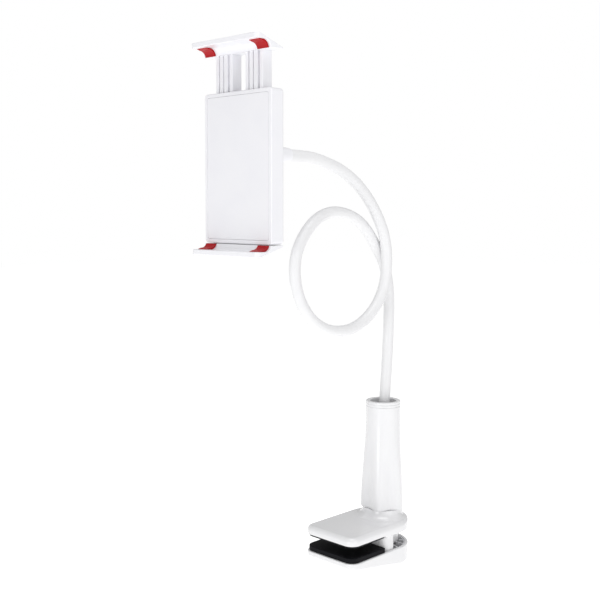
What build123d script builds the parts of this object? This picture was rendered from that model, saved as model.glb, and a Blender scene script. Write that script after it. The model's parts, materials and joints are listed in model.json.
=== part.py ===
"""Clamp-on phone and tablet stand.

A desk clamp is closed by twisting a handle round its column, a bendable arm with one full loop
stands in the column, and a spring clip sits on the arm's end on a ball joint.

Millimetres, +Z up. The origin is the centre of the upper pad's underside, which rests on the desk
top. -Y is the way the clamp opens and the clip faces, and X runs across both.
"""

import os
from math import cos, pi, radians, sin, tan

from build123d import *

# ---------------------------------------------------------------------------- driving dimensions
RUNNING = 0.05  # radial clearance of a running fit
SLIDING = 0.2  # clearance at each side of a sliding piece

# Clamp jaws
JAW_WIDTH = 60.0
JAW_CORNER = 10.0
THROAT = 44.0  # how far a desk top goes in
UPPER_PAD = 1.8  # pad thickness
LOWER_PAD = 4.5
LOWER_PAD_REACH = 1.2  # past the throat
PAD_INSET = 1.5  # of the pads from the jaws' sides and front
DESK_GAP = 9.0  # between the pads, as stored
CLOSING = 8.5  # jaw travel up from the stored place
OPENING = 45.0  # and down from it
JAW_TOP = 9.0
JAW_EDGE = 4.0  # rounding of the upper jaw's top edge
SKIRT_BOTTOM = 0.5  # underside of the upper jaw behind the throat
HEEL_SETBACK = 23.5  # from the throat to where the lower jaw is deepest
LOWER_JAW_NOSE = 5.0  # thickness at the front of the wedge
LOWER_JAW_HEEL = 15.5  # thickness at the rear
JAW_FLOOR = 5.0  # under the lower jaw's pocket
COVER_PLATE = 1.2  # over the leg screws
COVER_PLATE_DEPTH = 14.0
COVER_PLATE_MARGIN = 5.0  # beyond the legs' centres
COVER_PLATE_CORNER = 4.0
COVER_PLATE_GAP = 0.1

# Column and twist handle
COLUMN_SETBACK = 31.0  # from the throat to the column's centre
COLLAR_TOP = 16.6
REAR_WALL = 1.0  # of the jaw behind the collar
HANDLE_GAP = 0.3
HANDLE_TOP = 116.3
TOP_RING = 6.5
RING_EDGE = 0.8
RING_GROOVES = [1.4, 3.8]  # their lower edges, up from the ring's underside
RING_GROOVE_HEIGHT = 0.5
RING_GROOVE_DEPTH = 0.4
SLEEVE_WALL = 2.0  # at the round top
OPENING_LIP = 0.4  # how far the ring's opening is smaller than the thread, which holds the lift ring in
LOBES = 5
FLARE = 2.4  # from the top's radius to the foot's mean radius
LOBE_DEPTH = 2.1
# Height above the sleeve's foot, how much smaller the mean radius is, and the share of the lobes.
SLEEVE_STATIONS = [(0, 0, 1), (30, 0.4, 0.85), (65, 1.7, 0.25)]
RIDGE_ANGLE = radians(225)  # one ridge points half way between -X and -Y
NUT_WALL = 1.6
THREAD_RADIUS = 12.4  # thread of the lift ring, as a plain cylinder
LIFT_RING = 16.0
LIFT_SPARE = 19.3  # left under the lift ring with the jaw fully open
LEG_RADIUS = 2.2
LEG_THREAD = 9.0  # of its screw in a leg
LEG_PASSAGE = 0.4  # clearance round a leg where it isn't guided
CORE_OUTER = 7.2
CORE_SPARE = 6.0  # of the core tube over the lift ring
CORE_GRIP = 60.0  # the arm leans a little above this length, so the bore is wider
CORE_WIDE = 6.2
FLANGE_MARGIN = 1.5  # beyond the drive nut
COLLAR_WALL = 3.0
FLANGE_LOW = 4.0
FLANGE_HIGH = 8.2
ARM_FOOT_RISE = 0.5  # of the arm's foot over the flange's underside
WASHER = 1.5
CLAMP_SCREW_OFFSET = 10.5
CLAMP_SCREW_RADIUS = 1.6
CLAMP_SCREW_HEAD = 3.0  # radius and height
CLAMP_SCREW_COVER = 1.0  # of the flange over a screw's tip
GRUB_SCREW = 8.0

# Guide block under the upper jaw, and the ribbed insert round it in the lower jaw's pocket
BLOCK_SETBACK = 2.0  # from the throat
BLOCK_INSET = 3.2  # from the jaws' outline
BLOCK_BAR = 12.0  # depth of the block's wide front
BLOCK_BOSS = 14.5  # radius of its round part about the column
BLOCK_CLEARANCE = 0.5  # over the pocket's floor with the jaw fully closed
POCKET_CLEARANCE = 0.5
INSERT_WALL = 1.2
INSERT_DROP = 0.8  # of its top under the jaw's rim
RIB_WIDTH = 1.6
RIB_DIRECTIONS = [-20, 5, 30, 55]  # degrees from +X towards +Y about the column, then mirrored

# Arm
COLUMN_Y = THROAT / 2 + COLUMN_SETBACK
ARM_RADIUS = 5.0
ARM_CORE = 3.0
KNUCKLE_GAP = 0.2
CLIP_X = -2.0  # the clip's centre plane, to one side of the clamp's
BALL_Z = 338.7
# Corners of the centre line, from the column's foot round one full loop to the clip. Each corner
# is rounded by an arc that leaves a tenth of the shorter run straight. The loop's two strands
# cross behind one another with a little space between them.
ARM_ROUTE = [
    (0, COLUMN_Y, FLANGE_LOW + ARM_FOOT_RISE),
    (0, COLUMN_Y, 98),
    (-1.5, COLUMN_Y + 8.5, 165),
    (-4, COLUMN_Y + 13.5, 226),
    (-4, COLUMN_Y - 4, 258),
    (-4, COLUMN_Y - 32.5, 288),
    (-3, COLUMN_Y - 80, 293.5),
    (-1, COLUMN_Y - 116.5, 259),
    (2, COLUMN_Y - 115.5, 217),
    (5, COLUMN_Y - 88, 188),
    (6.8, COLUMN_Y - 44, 186),
    (6.8, COLUMN_Y - 7, 214.5),
    (6.8, COLUMN_Y - 2, 261),
    (5, COLUMN_Y - 20.5, 297.5),
    (2, COLUMN_Y - 50, 325),
    (0, COLUMN_Y - 90, 337.5),
    (CLIP_X, COLUMN_Y - 112, BALL_Z),
    (CLIP_X, COLUMN_Y - 131, BALL_Z),
]
# The arm bends at the middle of these runs, counted from the foot.
BEND_RUNS = [1, 2, 7, 13]
SECTION_NAMES = ["foot", "base", "rise", "loop", "reach"]

# Clip housing
CLIP_WIDTH = 79.4
HOUSING_LOW = 266.6
HOUSING_HIGH = 387.2
HOUSING_FRONT = -125.0
BACK_WALL = 1.8
HOUSING_CORNER = 3.0
HOUSING_BACK_EDGE = 2.5
COVER_BORDER = 3.2
COVER_CORNER = 2.0
COVER = 1.8
COVER_GAP = 0.15
FLOOR = 2.4
COVER_SCREW_INSET = 7.7  # from the housing's sides
COVER_SCREW_RISE = 40.0
COVER_SCREW_TIP = 0.5
SCREW_RADIUS = 1.5
SCREW_HEAD_RADIUS = 2.8
SCREW_HEAD = 1.6
COVER_BOSS_RADIUS = 3.0
COVER_BOSS = 6.0
JAW_SCREW = 9.0  # length past the jaw's seat
JAW_SCREW_FLOOR = 1.4  # of the jaw under a screw's head
JAW_SCREW_SETBACK = 4.5  # from the housing's front

# Sliding rails and springs
RAIL_WIDTH = 20.0
RAIL_DEPTH = 10.0
RAIL_SIDE = 11.95  # from the housing's sides to the rails
RAIL_WALL = 2.0
RAIL_FACE = 3.2
RAIL_PLUG = 12.0  # solid top end
GROOVE_DEPTH = 2.2
GROOVES = [(-5.8, 1.2), (-0.6, 1.0), (5.6, 2.2)]  # centre from the rail's, and width
SPRING_OUTER = 3.0
SPRING_INNER = 2.3
SPRING_RISE = 4.0  # of its lower end over the channel's floor
SPRING_LENGTH = 45.0
ANCHOR = 4.0
POST_WIDTH = 4.0
POST_CLEARANCE = 1.0  # between a post and the rail's face

# Gripping jaws, in their own profile: along Y from the housing's front, and away from their seat
TOP_SEAT = 416.9
JAW_SEAT_GAP = 0.6  # between the housing's underside and the bottom jaw
LIP_REACH = 15.0
LIP = 4.6  # height of its front face
LIP_CORNER = 4.0
TOP_LIP_INNER = 6.0  # from the seat to the lip's inner side
BOTTOM_LIP_INNER = 4.6
TAIL_REACH = 12.6
TAIL_OUTER = 1.3
COVE_REACH = 7.0
COVE_BEND = (1.9, 0.7)  # forward, and as a share of the lip's inner height
PAD = 1.2
PAD_WIDTH = 12.0
PAD_END = 2.5  # from the jaw's end
PAD_REACH = 9.8
PAD_TIP = 0.3  # thickness at its front
PAD_BEND = 0.85  # share of its thickness on both axes at the cove's bend

# Ball joint
BALL_CLEARANCE = 6.5  # between the ball and the housing's back
BALL_RADIUS = 8.5
LINER = 1.2
STUD_RADIUS = 3.5
BOSS_WALL = 2.2
BOSS_FOOT = 4.0  # how far the boss's foot is wider
BOSS_FOOT_HEIGHT = 2.5
BOSS_ROOT = 0.5
BOSS_SHORT = 2.0  # the boss's mouth stops this far before the ball's centre
BALL_NUT_WALL = 2.0
BALL_NUT_TAPER = 3.0
FOOT_CLEARANCE = 2.5  # between the boss's foot and the nut
BALL_NUT_WAIST = 4.0
MOUTH_SETBACK = 2.5  # of the nut's mouth from the ball's rearmost point
MOUTH_LIP = 0.6  # how far the nut's mouth is smaller than the ball
STUD_SHOWN = 5.5  # between the ball and the ferrule
FERRULE_LENGTH = 14.0
FERRULE_BAND = 2.0
FERRULE_SMALL = 5.7
FERRULE_LARGE = 7.5

# ------------------------------------------------------------------------------- worked-out sizes
NUT_OUTER = THREAD_RADIUS + NUT_WALL
TOP_RADIUS = NUT_OUTER + SLEEVE_WALL
LOBE_MEAN = TOP_RADIUS + FLARE
FLANGE_RADIUS = NUT_OUTER + FLANGE_MARGIN
COLLAR_RADIUS = FLANGE_RADIUS + COLLAR_WALL
LOWER_PAD_TOP = -DESK_GAP
LOWER_RIM = LOWER_PAD_TOP - LOWER_PAD
LOWER_BOTTOM = LOWER_RIM - LOWER_JAW_HEEL
POCKET_FLOOR = LOWER_BOTTOM + JAW_FLOOR
JAW_FRONT = -THROAT / 2 - 0.5
JAW_REAR_CENTRE = COLUMN_Y + COLLAR_RADIUS + REAR_WALL - JAW_WIDTH / 2
BLOCK_FRONT = THROAT / 2 + BLOCK_SETBACK
BLOCK_BOTTOM = POCKET_FLOOR + CLOSING + BLOCK_CLEARANCE
NUT_BOTTOM = FLANGE_HIGH + WASHER
OPENING_RADIUS = THREAD_RADIUS - OPENING_LIP
LEG_OFFSET = THREAD_RADIUS - LEG_RADIUS - SLIDING
COVER_PLATE_WIDTH = 2 * (LEG_OFFSET + COVER_PLATE_MARGIN)
LIFT_RING_LOW = NUT_BOTTOM + OPENING + LIFT_SPARE
LIFT_RING_HIGH = LIFT_RING_LOW + LIFT_RING
CORE_HIGH = LIFT_RING_HIGH + CORE_SPARE
CORE_GRIP_HIGH = FLANGE_LOW + CORE_GRIP
SLEEVE_LOW = COLLAR_TOP + HANDLE_GAP
SLEEVE_HIGH = HANDLE_TOP - TOP_RING
HOUSING_BACK = HOUSING_FRONT + COVER + RAIL_DEPTH + 2 * SLIDING + BACK_WALL
RAIL_SPACING = CLIP_WIDTH - 2 * RAIL_SIDE - RAIL_WIDTH  # between the rails' centre lines
HOUSING_MIDDLE = (HOUSING_LOW + HOUSING_HIGH) / 2
HOUSING_HEIGHT = HOUSING_HIGH - HOUSING_LOW
COVER_SCREW_X = CLIP_WIDTH / 2 - COVER_SCREW_INSET
BOTTOM_SEAT = HOUSING_LOW - JAW_SEAT_GAP
RAIL_FRONT = HOUSING_FRONT + COVER + SLIDING
CHANNEL_FLOOR = HOUSING_LOW + FLOOR
RAIL_LOW = CHANNEL_FLOOR + SLIDING
SPRING_Y = RAIL_FRONT + RAIL_FACE + (RAIL_DEPTH - RAIL_FACE) / 2
SPRING_LOW = CHANNEL_FLOOR + SPRING_RISE
SPRING_HIGH = SPRING_LOW + SPRING_LENGTH
BALL_SETBACK = BALL_RADIUS + BALL_CLEARANCE
BALL_Y = HOUSING_BACK + BALL_SETBACK
BALL_NUT_FRONT = BALL_SETBACK - BOSS_FOOT_HEIGHT - FOOT_CLEARANCE
BALL_NUT_REAR = BALL_RADIUS - MOUTH_SETBACK
FERRULE_START = BALL_RADIUS + STUD_SHOWN
BALL_CENTRE = (CLIP_X, BALL_Y, BALL_Z)
LINER_OUTER = BALL_RADIUS + LINER
CAVITY_RADIUS = LINER_OUTER + RUNNING
BOSS_RADIUS = CAVITY_RADIUS + BOSS_WALL
NUT_THREAD = BOSS_RADIUS + RUNNING
BALL_NUT_OUTER = NUT_THREAD + BALL_NUT_WALL
SIDES = {"left": -1, "right": 1}
HALF_BALL = (Align.CENTER, Align.CENTER, Align.MAX)  # flat face on the plane it stands on


def finish(part, label):
    """Label a finished piece and write it to its own file."""
    part.label = label
    export_step(part, f"parts/{label}.step")


# ----------------------------------------------------------------------------------------- clamp
def jaw_plan(height, front=JAW_FRONT, inset=0.0):
    """Plan of a clamp jaw: rounded front corners, and a round rear end about the column."""
    half = JAW_WIDTH / 2 - inset
    with BuildSketch(Plane.XY.offset(height)) as plan:
        with BuildLine():
            Polyline((-half, JAW_REAR_CENTRE), (-half, front), (half, front), (half, JAW_REAR_CENTRE))
            ThreePointArc(
                (half, JAW_REAR_CENTRE), (0, JAW_REAR_CENTRE + half), (-half, JAW_REAR_CENTRE)
            )
        make_face()
        fillet(plan.vertices().group_by(Axis.Y)[0], JAW_CORNER - inset)
    return plan.sketch


def pad_plan(height, rear):
    """Plan of a clamp pad: the jaw's front a little smaller, with a straight rear edge."""
    with BuildSketch(Plane.XY.offset(height)) as plan:
        with Locations((0, rear)):
            Rectangle(
                JAW_WIDTH - 2 * PAD_INSET, rear - JAW_FRONT - PAD_INSET,
                align=(Align.CENTER, Align.MAX),
            )
        fillet(plan.vertices().group_by(Axis.Y)[0], JAW_CORNER - PAD_INSET)
    return plan.sketch


def block_plan(height, clearance=0.0):
    """Plan of the guide block: a wide bar in front, and a round part about the column."""
    with BuildSketch(Plane.XY.offset(height)) as plan:
        add(jaw_plan(height, BLOCK_FRONT - clearance, BLOCK_INSET - clearance))
        with Locations((0, BLOCK_FRONT + BLOCK_BAR + clearance)):
            Rectangle(
                JAW_WIDTH, JAW_WIDTH, align=(Align.CENTER, Align.MIN), mode=Mode.SUBTRACT
            )
        with Locations((0, COLUMN_Y)):
            Circle(BLOCK_BOSS + clearance)
            Rectangle(
                2 * (BLOCK_BOSS + clearance), COLUMN_Y - BLOCK_FRONT,
                align=(Align.CENTER, Align.MAX),
            )
    return plan.sketch


def pocket_plan(height, inset=0.0):
    """Plan of the lower jaw's pocket, or a smaller one inside it."""
    return jaw_plan(
        height, BLOCK_FRONT - POCKET_CLEARANCE, BLOCK_INSET - POCKET_CLEARANCE + inset
    )


def leg_places(height):
    """The two legs' centres, at either side of the column."""
    return Locations((-LEG_OFFSET, COLUMN_Y, height), (LEG_OFFSET, COLUMN_Y, height))


def clamp_screw_places(height):
    """The two clamp screws' centres, in front of the column and behind it."""
    return Locations(
        (0, COLUMN_Y - CLAMP_SCREW_OFFSET, height), (0, COLUMN_Y + CLAMP_SCREW_OFFSET, height)
    )


def upright(low, high, radius, mode=Mode.ADD):
    """A cylinder between two heights, at the current locations."""
    return Cylinder(radius, high - low, align=(Align.CENTER, Align.CENTER, Align.MIN), mode=mode)


os.makedirs("parts", exist_ok=True)

with BuildPart() as upper_jaw:
    extrude(jaw_plan(UPPER_PAD), amount=JAW_TOP - UPPER_PAD)
    fillet(upper_jaw.faces().sort_by(Axis.Z)[-1].edges(), JAW_EDGE)
    with BuildSketch(Plane.XY.offset(SKIRT_BOTTOM)):
        add(jaw_plan(SKIRT_BOTTOM))
        with Locations((0, THROAT / 2 - JAW_WIDTH)):
            Rectangle(2 * JAW_WIDTH, 2 * JAW_WIDTH, mode=Mode.SUBTRACT)
    extrude(amount=UPPER_PAD - SKIRT_BOTTOM)
    with Locations((0, COLUMN_Y, FLANGE_LOW)):
        upright(FLANGE_LOW, COLLAR_TOP, COLLAR_RADIUS)
        upright(FLANGE_LOW, COLLAR_TOP, FLANGE_RADIUS, mode=Mode.SUBTRACT)
    with leg_places(SKIRT_BOTTOM):
        upright(SKIRT_BOTTOM, FLANGE_LOW, LEG_RADIUS + LEG_PASSAGE, mode=Mode.SUBTRACT)
    with clamp_screw_places(SKIRT_BOTTOM):
        upright(SKIRT_BOTTOM, FLANGE_LOW, CLAMP_SCREW_RADIUS, mode=Mode.SUBTRACT)
finish(upper_jaw.part, "upper_jaw")

with BuildPart() as upper_pad:
    extrude(pad_plan(0, THROAT / 2), amount=UPPER_PAD)
finish(upper_pad.part, "upper_pad")

with BuildPart() as guide_block:
    extrude(block_plan(BLOCK_BOTTOM), amount=SKIRT_BOTTOM - BLOCK_BOTTOM)
    with leg_places(BLOCK_BOTTOM):
        upright(BLOCK_BOTTOM, SKIRT_BOTTOM, LEG_RADIUS + RUNNING, mode=Mode.SUBTRACT)
    with clamp_screw_places(BLOCK_BOTTOM):
        upright(BLOCK_BOTTOM, SKIRT_BOTTOM, CLAMP_SCREW_RADIUS, mode=Mode.SUBTRACT)
        upright(0, CLAMP_SCREW_HEAD, CLAMP_SCREW_HEAD, mode=Mode.SUBTRACT)
finish(guide_block.part, "guide_block")

with BuildPart() as clamp_screws:
    with clamp_screw_places(BLOCK_BOTTOM):
        upright(0, CLAMP_SCREW_HEAD, CLAMP_SCREW_HEAD)
        upright(BLOCK_BOTTOM, FLANGE_HIGH - CLAMP_SCREW_COVER, CLAMP_SCREW_RADIUS)
finish(clamp_screws.part, "clamp_screws")

# The core tube stands in the collar on its flange and holds the arm. The legs pass its flange.
with BuildPart() as core_tube:
    with Locations((0, COLUMN_Y, FLANGE_LOW)):
        upright(FLANGE_LOW, FLANGE_HIGH, FLANGE_RADIUS)
        upright(FLANGE_LOW, CORE_HIGH, CORE_OUTER)
        upright(FLANGE_LOW, CORE_HIGH, ARM_RADIUS + RUNNING, mode=Mode.SUBTRACT)
    with Locations((0, COLUMN_Y, CORE_GRIP_HIGH)):
        upright(CORE_GRIP_HIGH, CORE_HIGH, CORE_WIDE, mode=Mode.SUBTRACT)
    with leg_places(FLANGE_LOW):
        upright(FLANGE_LOW, FLANGE_HIGH, LEG_RADIUS + LEG_PASSAGE, mode=Mode.SUBTRACT)
    with clamp_screw_places(FLANGE_LOW):
        upright(FLANGE_LOW, FLANGE_HIGH - CLAMP_SCREW_COVER, CLAMP_SCREW_RADIUS, mode=Mode.SUBTRACT)
    grub_plane = Plane(
        origin=(0, COLUMN_Y, (FLANGE_LOW + FLANGE_HIGH) / 2), z_dir=(1, 1, 0), x_dir=(0, 0, 1)
    )
    with Locations(grub_plane):
        upright(0, FLANGE_RADIUS + 1, SCREW_RADIUS, mode=Mode.SUBTRACT)
finish(core_tube.part, "core_tube")

with BuildPart() as arm_grub_screw:
    with Locations(grub_plane.offset(ARM_RADIUS + RUNNING)):
        upright(0, GRUB_SCREW, SCREW_RADIUS)
finish(arm_grub_screw.part, "arm_grub_screw")

with BuildPart() as thrust_washer:
    with BuildSketch(Plane.XY.offset(FLANGE_HIGH)):
        with Locations((0, COLUMN_Y)):
            Circle(FLANGE_RADIUS - RUNNING)
            Circle(THREAD_RADIUS + SLIDING, mode=Mode.SUBTRACT)
    extrude(amount=WASHER)
finish(thrust_washer.part, "thrust_washer")


# ---------------------------------------------------------------------------------------- handle
def lobed_outline(height, mean_radius, lobe_depth):
    """Outline of the grip at one height: a circle with five rounded lobes."""
    steps = 6 * LOBES
    points = []
    for step in range(steps):
        angle = 2 * pi * step / steps
        radius = mean_radius + lobe_depth * cos(LOBES * (angle - RIDGE_ANGLE))
        points.append((radius * cos(angle), COLUMN_Y + radius * sin(angle)))
    with BuildSketch(Plane.XY.offset(height)) as outline:
        with BuildLine():
            Spline(*points, periodic=True)
        make_face()
    return outline.sketch


with BuildPart() as handle_sleeve:
    loft(
        [
            lobed_outline(SLEEVE_LOW + rise, LOBE_MEAN - shrink, LOBE_DEPTH * share)
            for rise, shrink, share in SLEEVE_STATIONS
        ]
        + [lobed_outline(SLEEVE_HIGH, TOP_RADIUS, 0)]
    )
    with Locations((0, COLUMN_Y, SLEEVE_LOW)):
        upright(SLEEVE_LOW, SLEEVE_HIGH, NUT_OUTER, mode=Mode.SUBTRACT)
finish(handle_sleeve.part, "handle_sleeve")

with BuildPart() as handle_ring:
    with BuildSketch(Plane.XY.offset(SLEEVE_HIGH)):
        with Locations((0, COLUMN_Y)):
            Circle(TOP_RADIUS)
            Circle(OPENING_RADIUS, mode=Mode.SUBTRACT)
    extrude(amount=TOP_RING)
    fillet(handle_ring.faces().sort_by(Axis.Z)[-1].edges(), RING_EDGE)
    for groove_rise in RING_GROOVES:
        with BuildSketch(Plane.XY.offset(SLEEVE_HIGH + groove_rise)):
            with Locations((0, COLUMN_Y)):
                Circle(TOP_RADIUS + 1)
                Circle(TOP_RADIUS - RING_GROOVE_DEPTH, mode=Mode.SUBTRACT)
        extrude(amount=RING_GROOVE_HEIGHT, mode=Mode.SUBTRACT)
finish(handle_ring.part, "handle_ring")

with BuildPart() as drive_nut:
    with Locations((0, COLUMN_Y, NUT_BOTTOM)):
        upright(NUT_BOTTOM, SLEEVE_HIGH, NUT_OUTER)
        upright(NUT_BOTTOM, SLEEVE_HIGH, THREAD_RADIUS + RUNNING, mode=Mode.SUBTRACT)
finish(drive_nut.part, "drive_nut")

# ------------------------------------------------------------------------------------- lower jaw
with BuildPart() as lower_jaw:
    extrude(jaw_plan(LOWER_BOTTOM), amount=LOWER_JAW_HEEL)
    slope_end = THROAT / 2 + HEEL_SETBACK
    with BuildSketch(Plane.YZ.offset(-JAW_WIDTH)):
        with BuildLine():
            Polyline(
                (JAW_FRONT - 1, LOWER_RIM - LOWER_JAW_NOSE),
                (slope_end, LOWER_BOTTOM),
                (slope_end, LOWER_BOTTOM - 1),
                (JAW_FRONT - 1, LOWER_BOTTOM - 1),
                close=True,
            )
        make_face()
    extrude(amount=2 * JAW_WIDTH, mode=Mode.SUBTRACT)
    extrude(pocket_plan(POCKET_FLOOR), amount=LOWER_RIM - POCKET_FLOOR, mode=Mode.SUBTRACT)
    with leg_places(LOWER_BOTTOM):
        upright(LOWER_BOTTOM, POCKET_FLOOR, SCREW_RADIUS, mode=Mode.SUBTRACT)
        upright(0, COVER_PLATE + SCREW_HEAD, SCREW_HEAD_RADIUS, mode=Mode.SUBTRACT)
    with BuildSketch(Plane.XY.offset(LOWER_BOTTOM)):
        with Locations((0, COLUMN_Y)):
            RectangleRounded(COVER_PLATE_WIDTH, COVER_PLATE_DEPTH, COVER_PLATE_CORNER)
    extrude(amount=COVER_PLATE, mode=Mode.SUBTRACT)
finish(lower_jaw.part, "lower_jaw")

with BuildPart() as lower_pad:
    extrude(pad_plan(LOWER_RIM, THROAT / 2 + LOWER_PAD_REACH), amount=LOWER_PAD)
finish(lower_pad.part, "lower_pad")

# The insert lines the pocket's rear with a wall, and ribs reach from it to the guide block.
with BuildPart() as pocket_insert:
    with BuildSketch(Plane.XY.offset(POCKET_FLOOR)) as ribs:
        with Locations((0, COLUMN_Y)):
            for direction in RIB_DIRECTIONS:
                for turn in (direction, 180 - direction):
                    Rectangle(
                        JAW_WIDTH, RIB_WIDTH, rotation=turn, align=(Align.MIN, Align.CENTER)
                    )
        add(pocket_plan(POCKET_FLOOR), mode=Mode.INTERSECT)
    with BuildSketch(Plane.XY.offset(POCKET_FLOOR)) as insert_plan:
        add(pocket_plan(POCKET_FLOOR))
        add(pocket_plan(POCKET_FLOOR, INSERT_WALL), mode=Mode.SUBTRACT)
        add(ribs.sketch)
        add(block_plan(POCKET_FLOOR, POCKET_CLEARANCE), mode=Mode.SUBTRACT)
    extrude(insert_plan.sketch, amount=LOWER_RIM - INSERT_DROP - POCKET_FLOOR)
finish(pocket_insert.part, "pocket_insert")

# The lift ring climbs inside the drive nut. Its two legs reach down to the lower jaw.
with BuildPart() as lift_ring:
    with Locations((0, COLUMN_Y, LIFT_RING_LOW)):
        upright(LIFT_RING_LOW, LIFT_RING_HIGH, THREAD_RADIUS)
        upright(LIFT_RING_LOW, LIFT_RING_HIGH, CORE_OUTER + SLIDING, mode=Mode.SUBTRACT)
    with leg_places(POCKET_FLOOR):
        upright(POCKET_FLOOR, LIFT_RING_LOW, LEG_RADIUS)
        upright(0, LEG_THREAD + 1, SCREW_RADIUS, mode=Mode.SUBTRACT)
finish(lift_ring.part, "lift_ring")

with BuildPart() as leg_screws:
    with leg_places(LOWER_BOTTOM + COVER_PLATE):
        upright(0, SCREW_HEAD, SCREW_HEAD_RADIUS)
        upright(LOWER_BOTTOM + COVER_PLATE, POCKET_FLOOR + LEG_THREAD, SCREW_RADIUS)
finish(leg_screws.part, "leg_screws")

with BuildPart() as jaw_cover:
    with BuildSketch(Plane.XY.offset(LOWER_BOTTOM)):
        with Locations((0, COLUMN_Y)):
            RectangleRounded(
                COVER_PLATE_WIDTH - 2 * COVER_PLATE_GAP,
                COVER_PLATE_DEPTH - 2 * COVER_PLATE_GAP,
                COVER_PLATE_CORNER,
            )
    extrude(amount=COVER_PLATE)
finish(jaw_cover.part, "jaw_cover")


# ------------------------------------------------------------------------------------------- arm
def corner_radius(index):
    """Arc radius at one corner of the route: it leaves a tenth of the shorter run straight."""
    before, corner, after = (Vector(*ARM_ROUTE[index + step]) for step in (-1, 0, 1))
    arriving, leaving = corner - before, after - corner
    half_turn = radians(arriving.get_angle(leaving)) / 2
    return 0.45 * min(arriving.length, leaving.length) / tan(half_turn)


def run_middle(run):
    """Middle of one straight run of the route, where the arm bends."""
    return (Vector(*ARM_ROUTE[run]) + Vector(*ARM_ROUTE[run + 1])) / 2


def section_path(section):
    """Points and corner radii of one section of the arm, from bend to bend."""
    first = BEND_RUNS[section - 1] if section > 0 else 0
    last = BEND_RUNS[section] if section < len(BEND_RUNS) else len(ARM_ROUTE) - 2
    start = run_middle(first) if section > 0 else Vector(*ARM_ROUTE[0])
    end = run_middle(last) if section < len(BEND_RUNS) else Vector(*ARM_ROUTE[-1])
    corners = range(first + 1, last + 1)
    points = [start] + [Vector(*ARM_ROUTE[index]) for index in corners] + [end]
    return points, [corner_radius(index) for index in corners]


for section, name in enumerate(SECTION_NAMES):
    points, radii = section_path(section)
    starts_at_bend = section > 0
    ends_at_bend = section < len(BEND_RUNS)
    start_plane = Plane(origin=points[0], z_dir=points[1] - points[0])

    with BuildPart() as arm_jacket:
        with BuildLine() as jacket_line:
            FilletPolyline(*points, radius=radii)
        with BuildSketch(start_plane):
            Circle(ARM_RADIUS)
            Circle(ARM_CORE, mode=Mode.SUBTRACT)
        sweep(path=jacket_line.line)
        if starts_at_bend:
            with Locations(start_plane):
                Sphere(ARM_RADIUS, arc_size1=-90, arc_size2=0, align=HALF_BALL)
        if ends_at_bend:
            with Locations(points[-1]):
                Sphere(ARM_RADIUS + KNUCKLE_GAP, mode=Mode.SUBTRACT)
    finish(arm_jacket.part, f"arm_jacket_{name}")

    with BuildPart() as arm_core:
        with BuildLine() as core_line:
            FilletPolyline(*points, radius=radii)
        with BuildSketch(start_plane):
            Circle(ARM_CORE)
        sweep(path=core_line.line)
        if ends_at_bend:
            with Locations(points[-1]):
                Sphere(ARM_RADIUS + KNUCKLE_GAP, mode=Mode.SUBTRACT)
    finish(arm_core.part, f"arm_core_{name}")

    length = sum(edge.length for edge in jacket_line.edges())
    print(name, "arm length", round(length, 1), "radii", [round(radius, 1) for radius in radii])
    print("  jacket volume over section times length",
          round(arm_jacket.part.volume / (pi * (ARM_RADIUS**2 - ARM_CORE**2) * length), 3))

# ------------------------------------------------------------------------------------ ball joint
ball_plane = Plane(origin=BALL_CENTRE)  # profiles: x out from the joint's axis, y back to the arm
ball_axis = Axis(BALL_CENTRE, (0, 1, 0))
ball_back = Plane(origin=BALL_CENTRE, x_dir=(1, 0, 0), z_dir=(0, 1, 0))


def shell_profile(inner, outer, start_angle, end_angle):
    """Profile of a ring of a spherical shell, between two angles from the x axis."""
    span = end_angle - start_angle
    with BuildSketch(ball_plane) as profile:
        with BuildLine():
            inside = CenterArc((0, 0), inner, start_angle, span)
            outside = CenterArc((0, 0), outer, start_angle, span)
            Line(inside @ 0, outside @ 0)
            Line(inside @ 1, outside @ 1)
        make_face()
    return profile.sketch


with BuildPart() as arm_ferrule:
    with BuildSketch(ball_plane) as ferrule_profile:
        with BuildLine():
            Polyline(
                (STUD_RADIUS, FERRULE_START),
                (FERRULE_LARGE, FERRULE_START),
                (FERRULE_LARGE, FERRULE_START + FERRULE_BAND),
                (FERRULE_SMALL, FERRULE_START + FERRULE_LENGTH),
                (ARM_RADIUS, FERRULE_START + FERRULE_LENGTH),
                (ARM_RADIUS, ARM_ROUTE[-1][1] - BALL_Y),
                (STUD_RADIUS, ARM_ROUTE[-1][1] - BALL_Y),
                close=True,
            )
        make_face()
    revolve(axis=ball_axis)
finish(arm_ferrule.part, "arm_ferrule")

with BuildPart() as ball_stud:
    with Locations(ball_back):
        Sphere(BALL_RADIUS)
        upright(0, ARM_ROUTE[-1][1] - BALL_Y, STUD_RADIUS)
finish(ball_stud.part, "ball_stud")

with BuildPart() as ball_liner_front:
    revolve(shell_profile(BALL_RADIUS + RUNNING, LINER_OUTER, -90, -50), axis=ball_axis)
finish(ball_liner_front.part, "ball_liner_front")

with BuildPart() as ball_liner_rear:
    revolve(shell_profile(BALL_RADIUS + RUNNING, LINER_OUTER, 10, 33), axis=ball_axis)
finish(ball_liner_rear.part, "ball_liner_rear")

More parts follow.
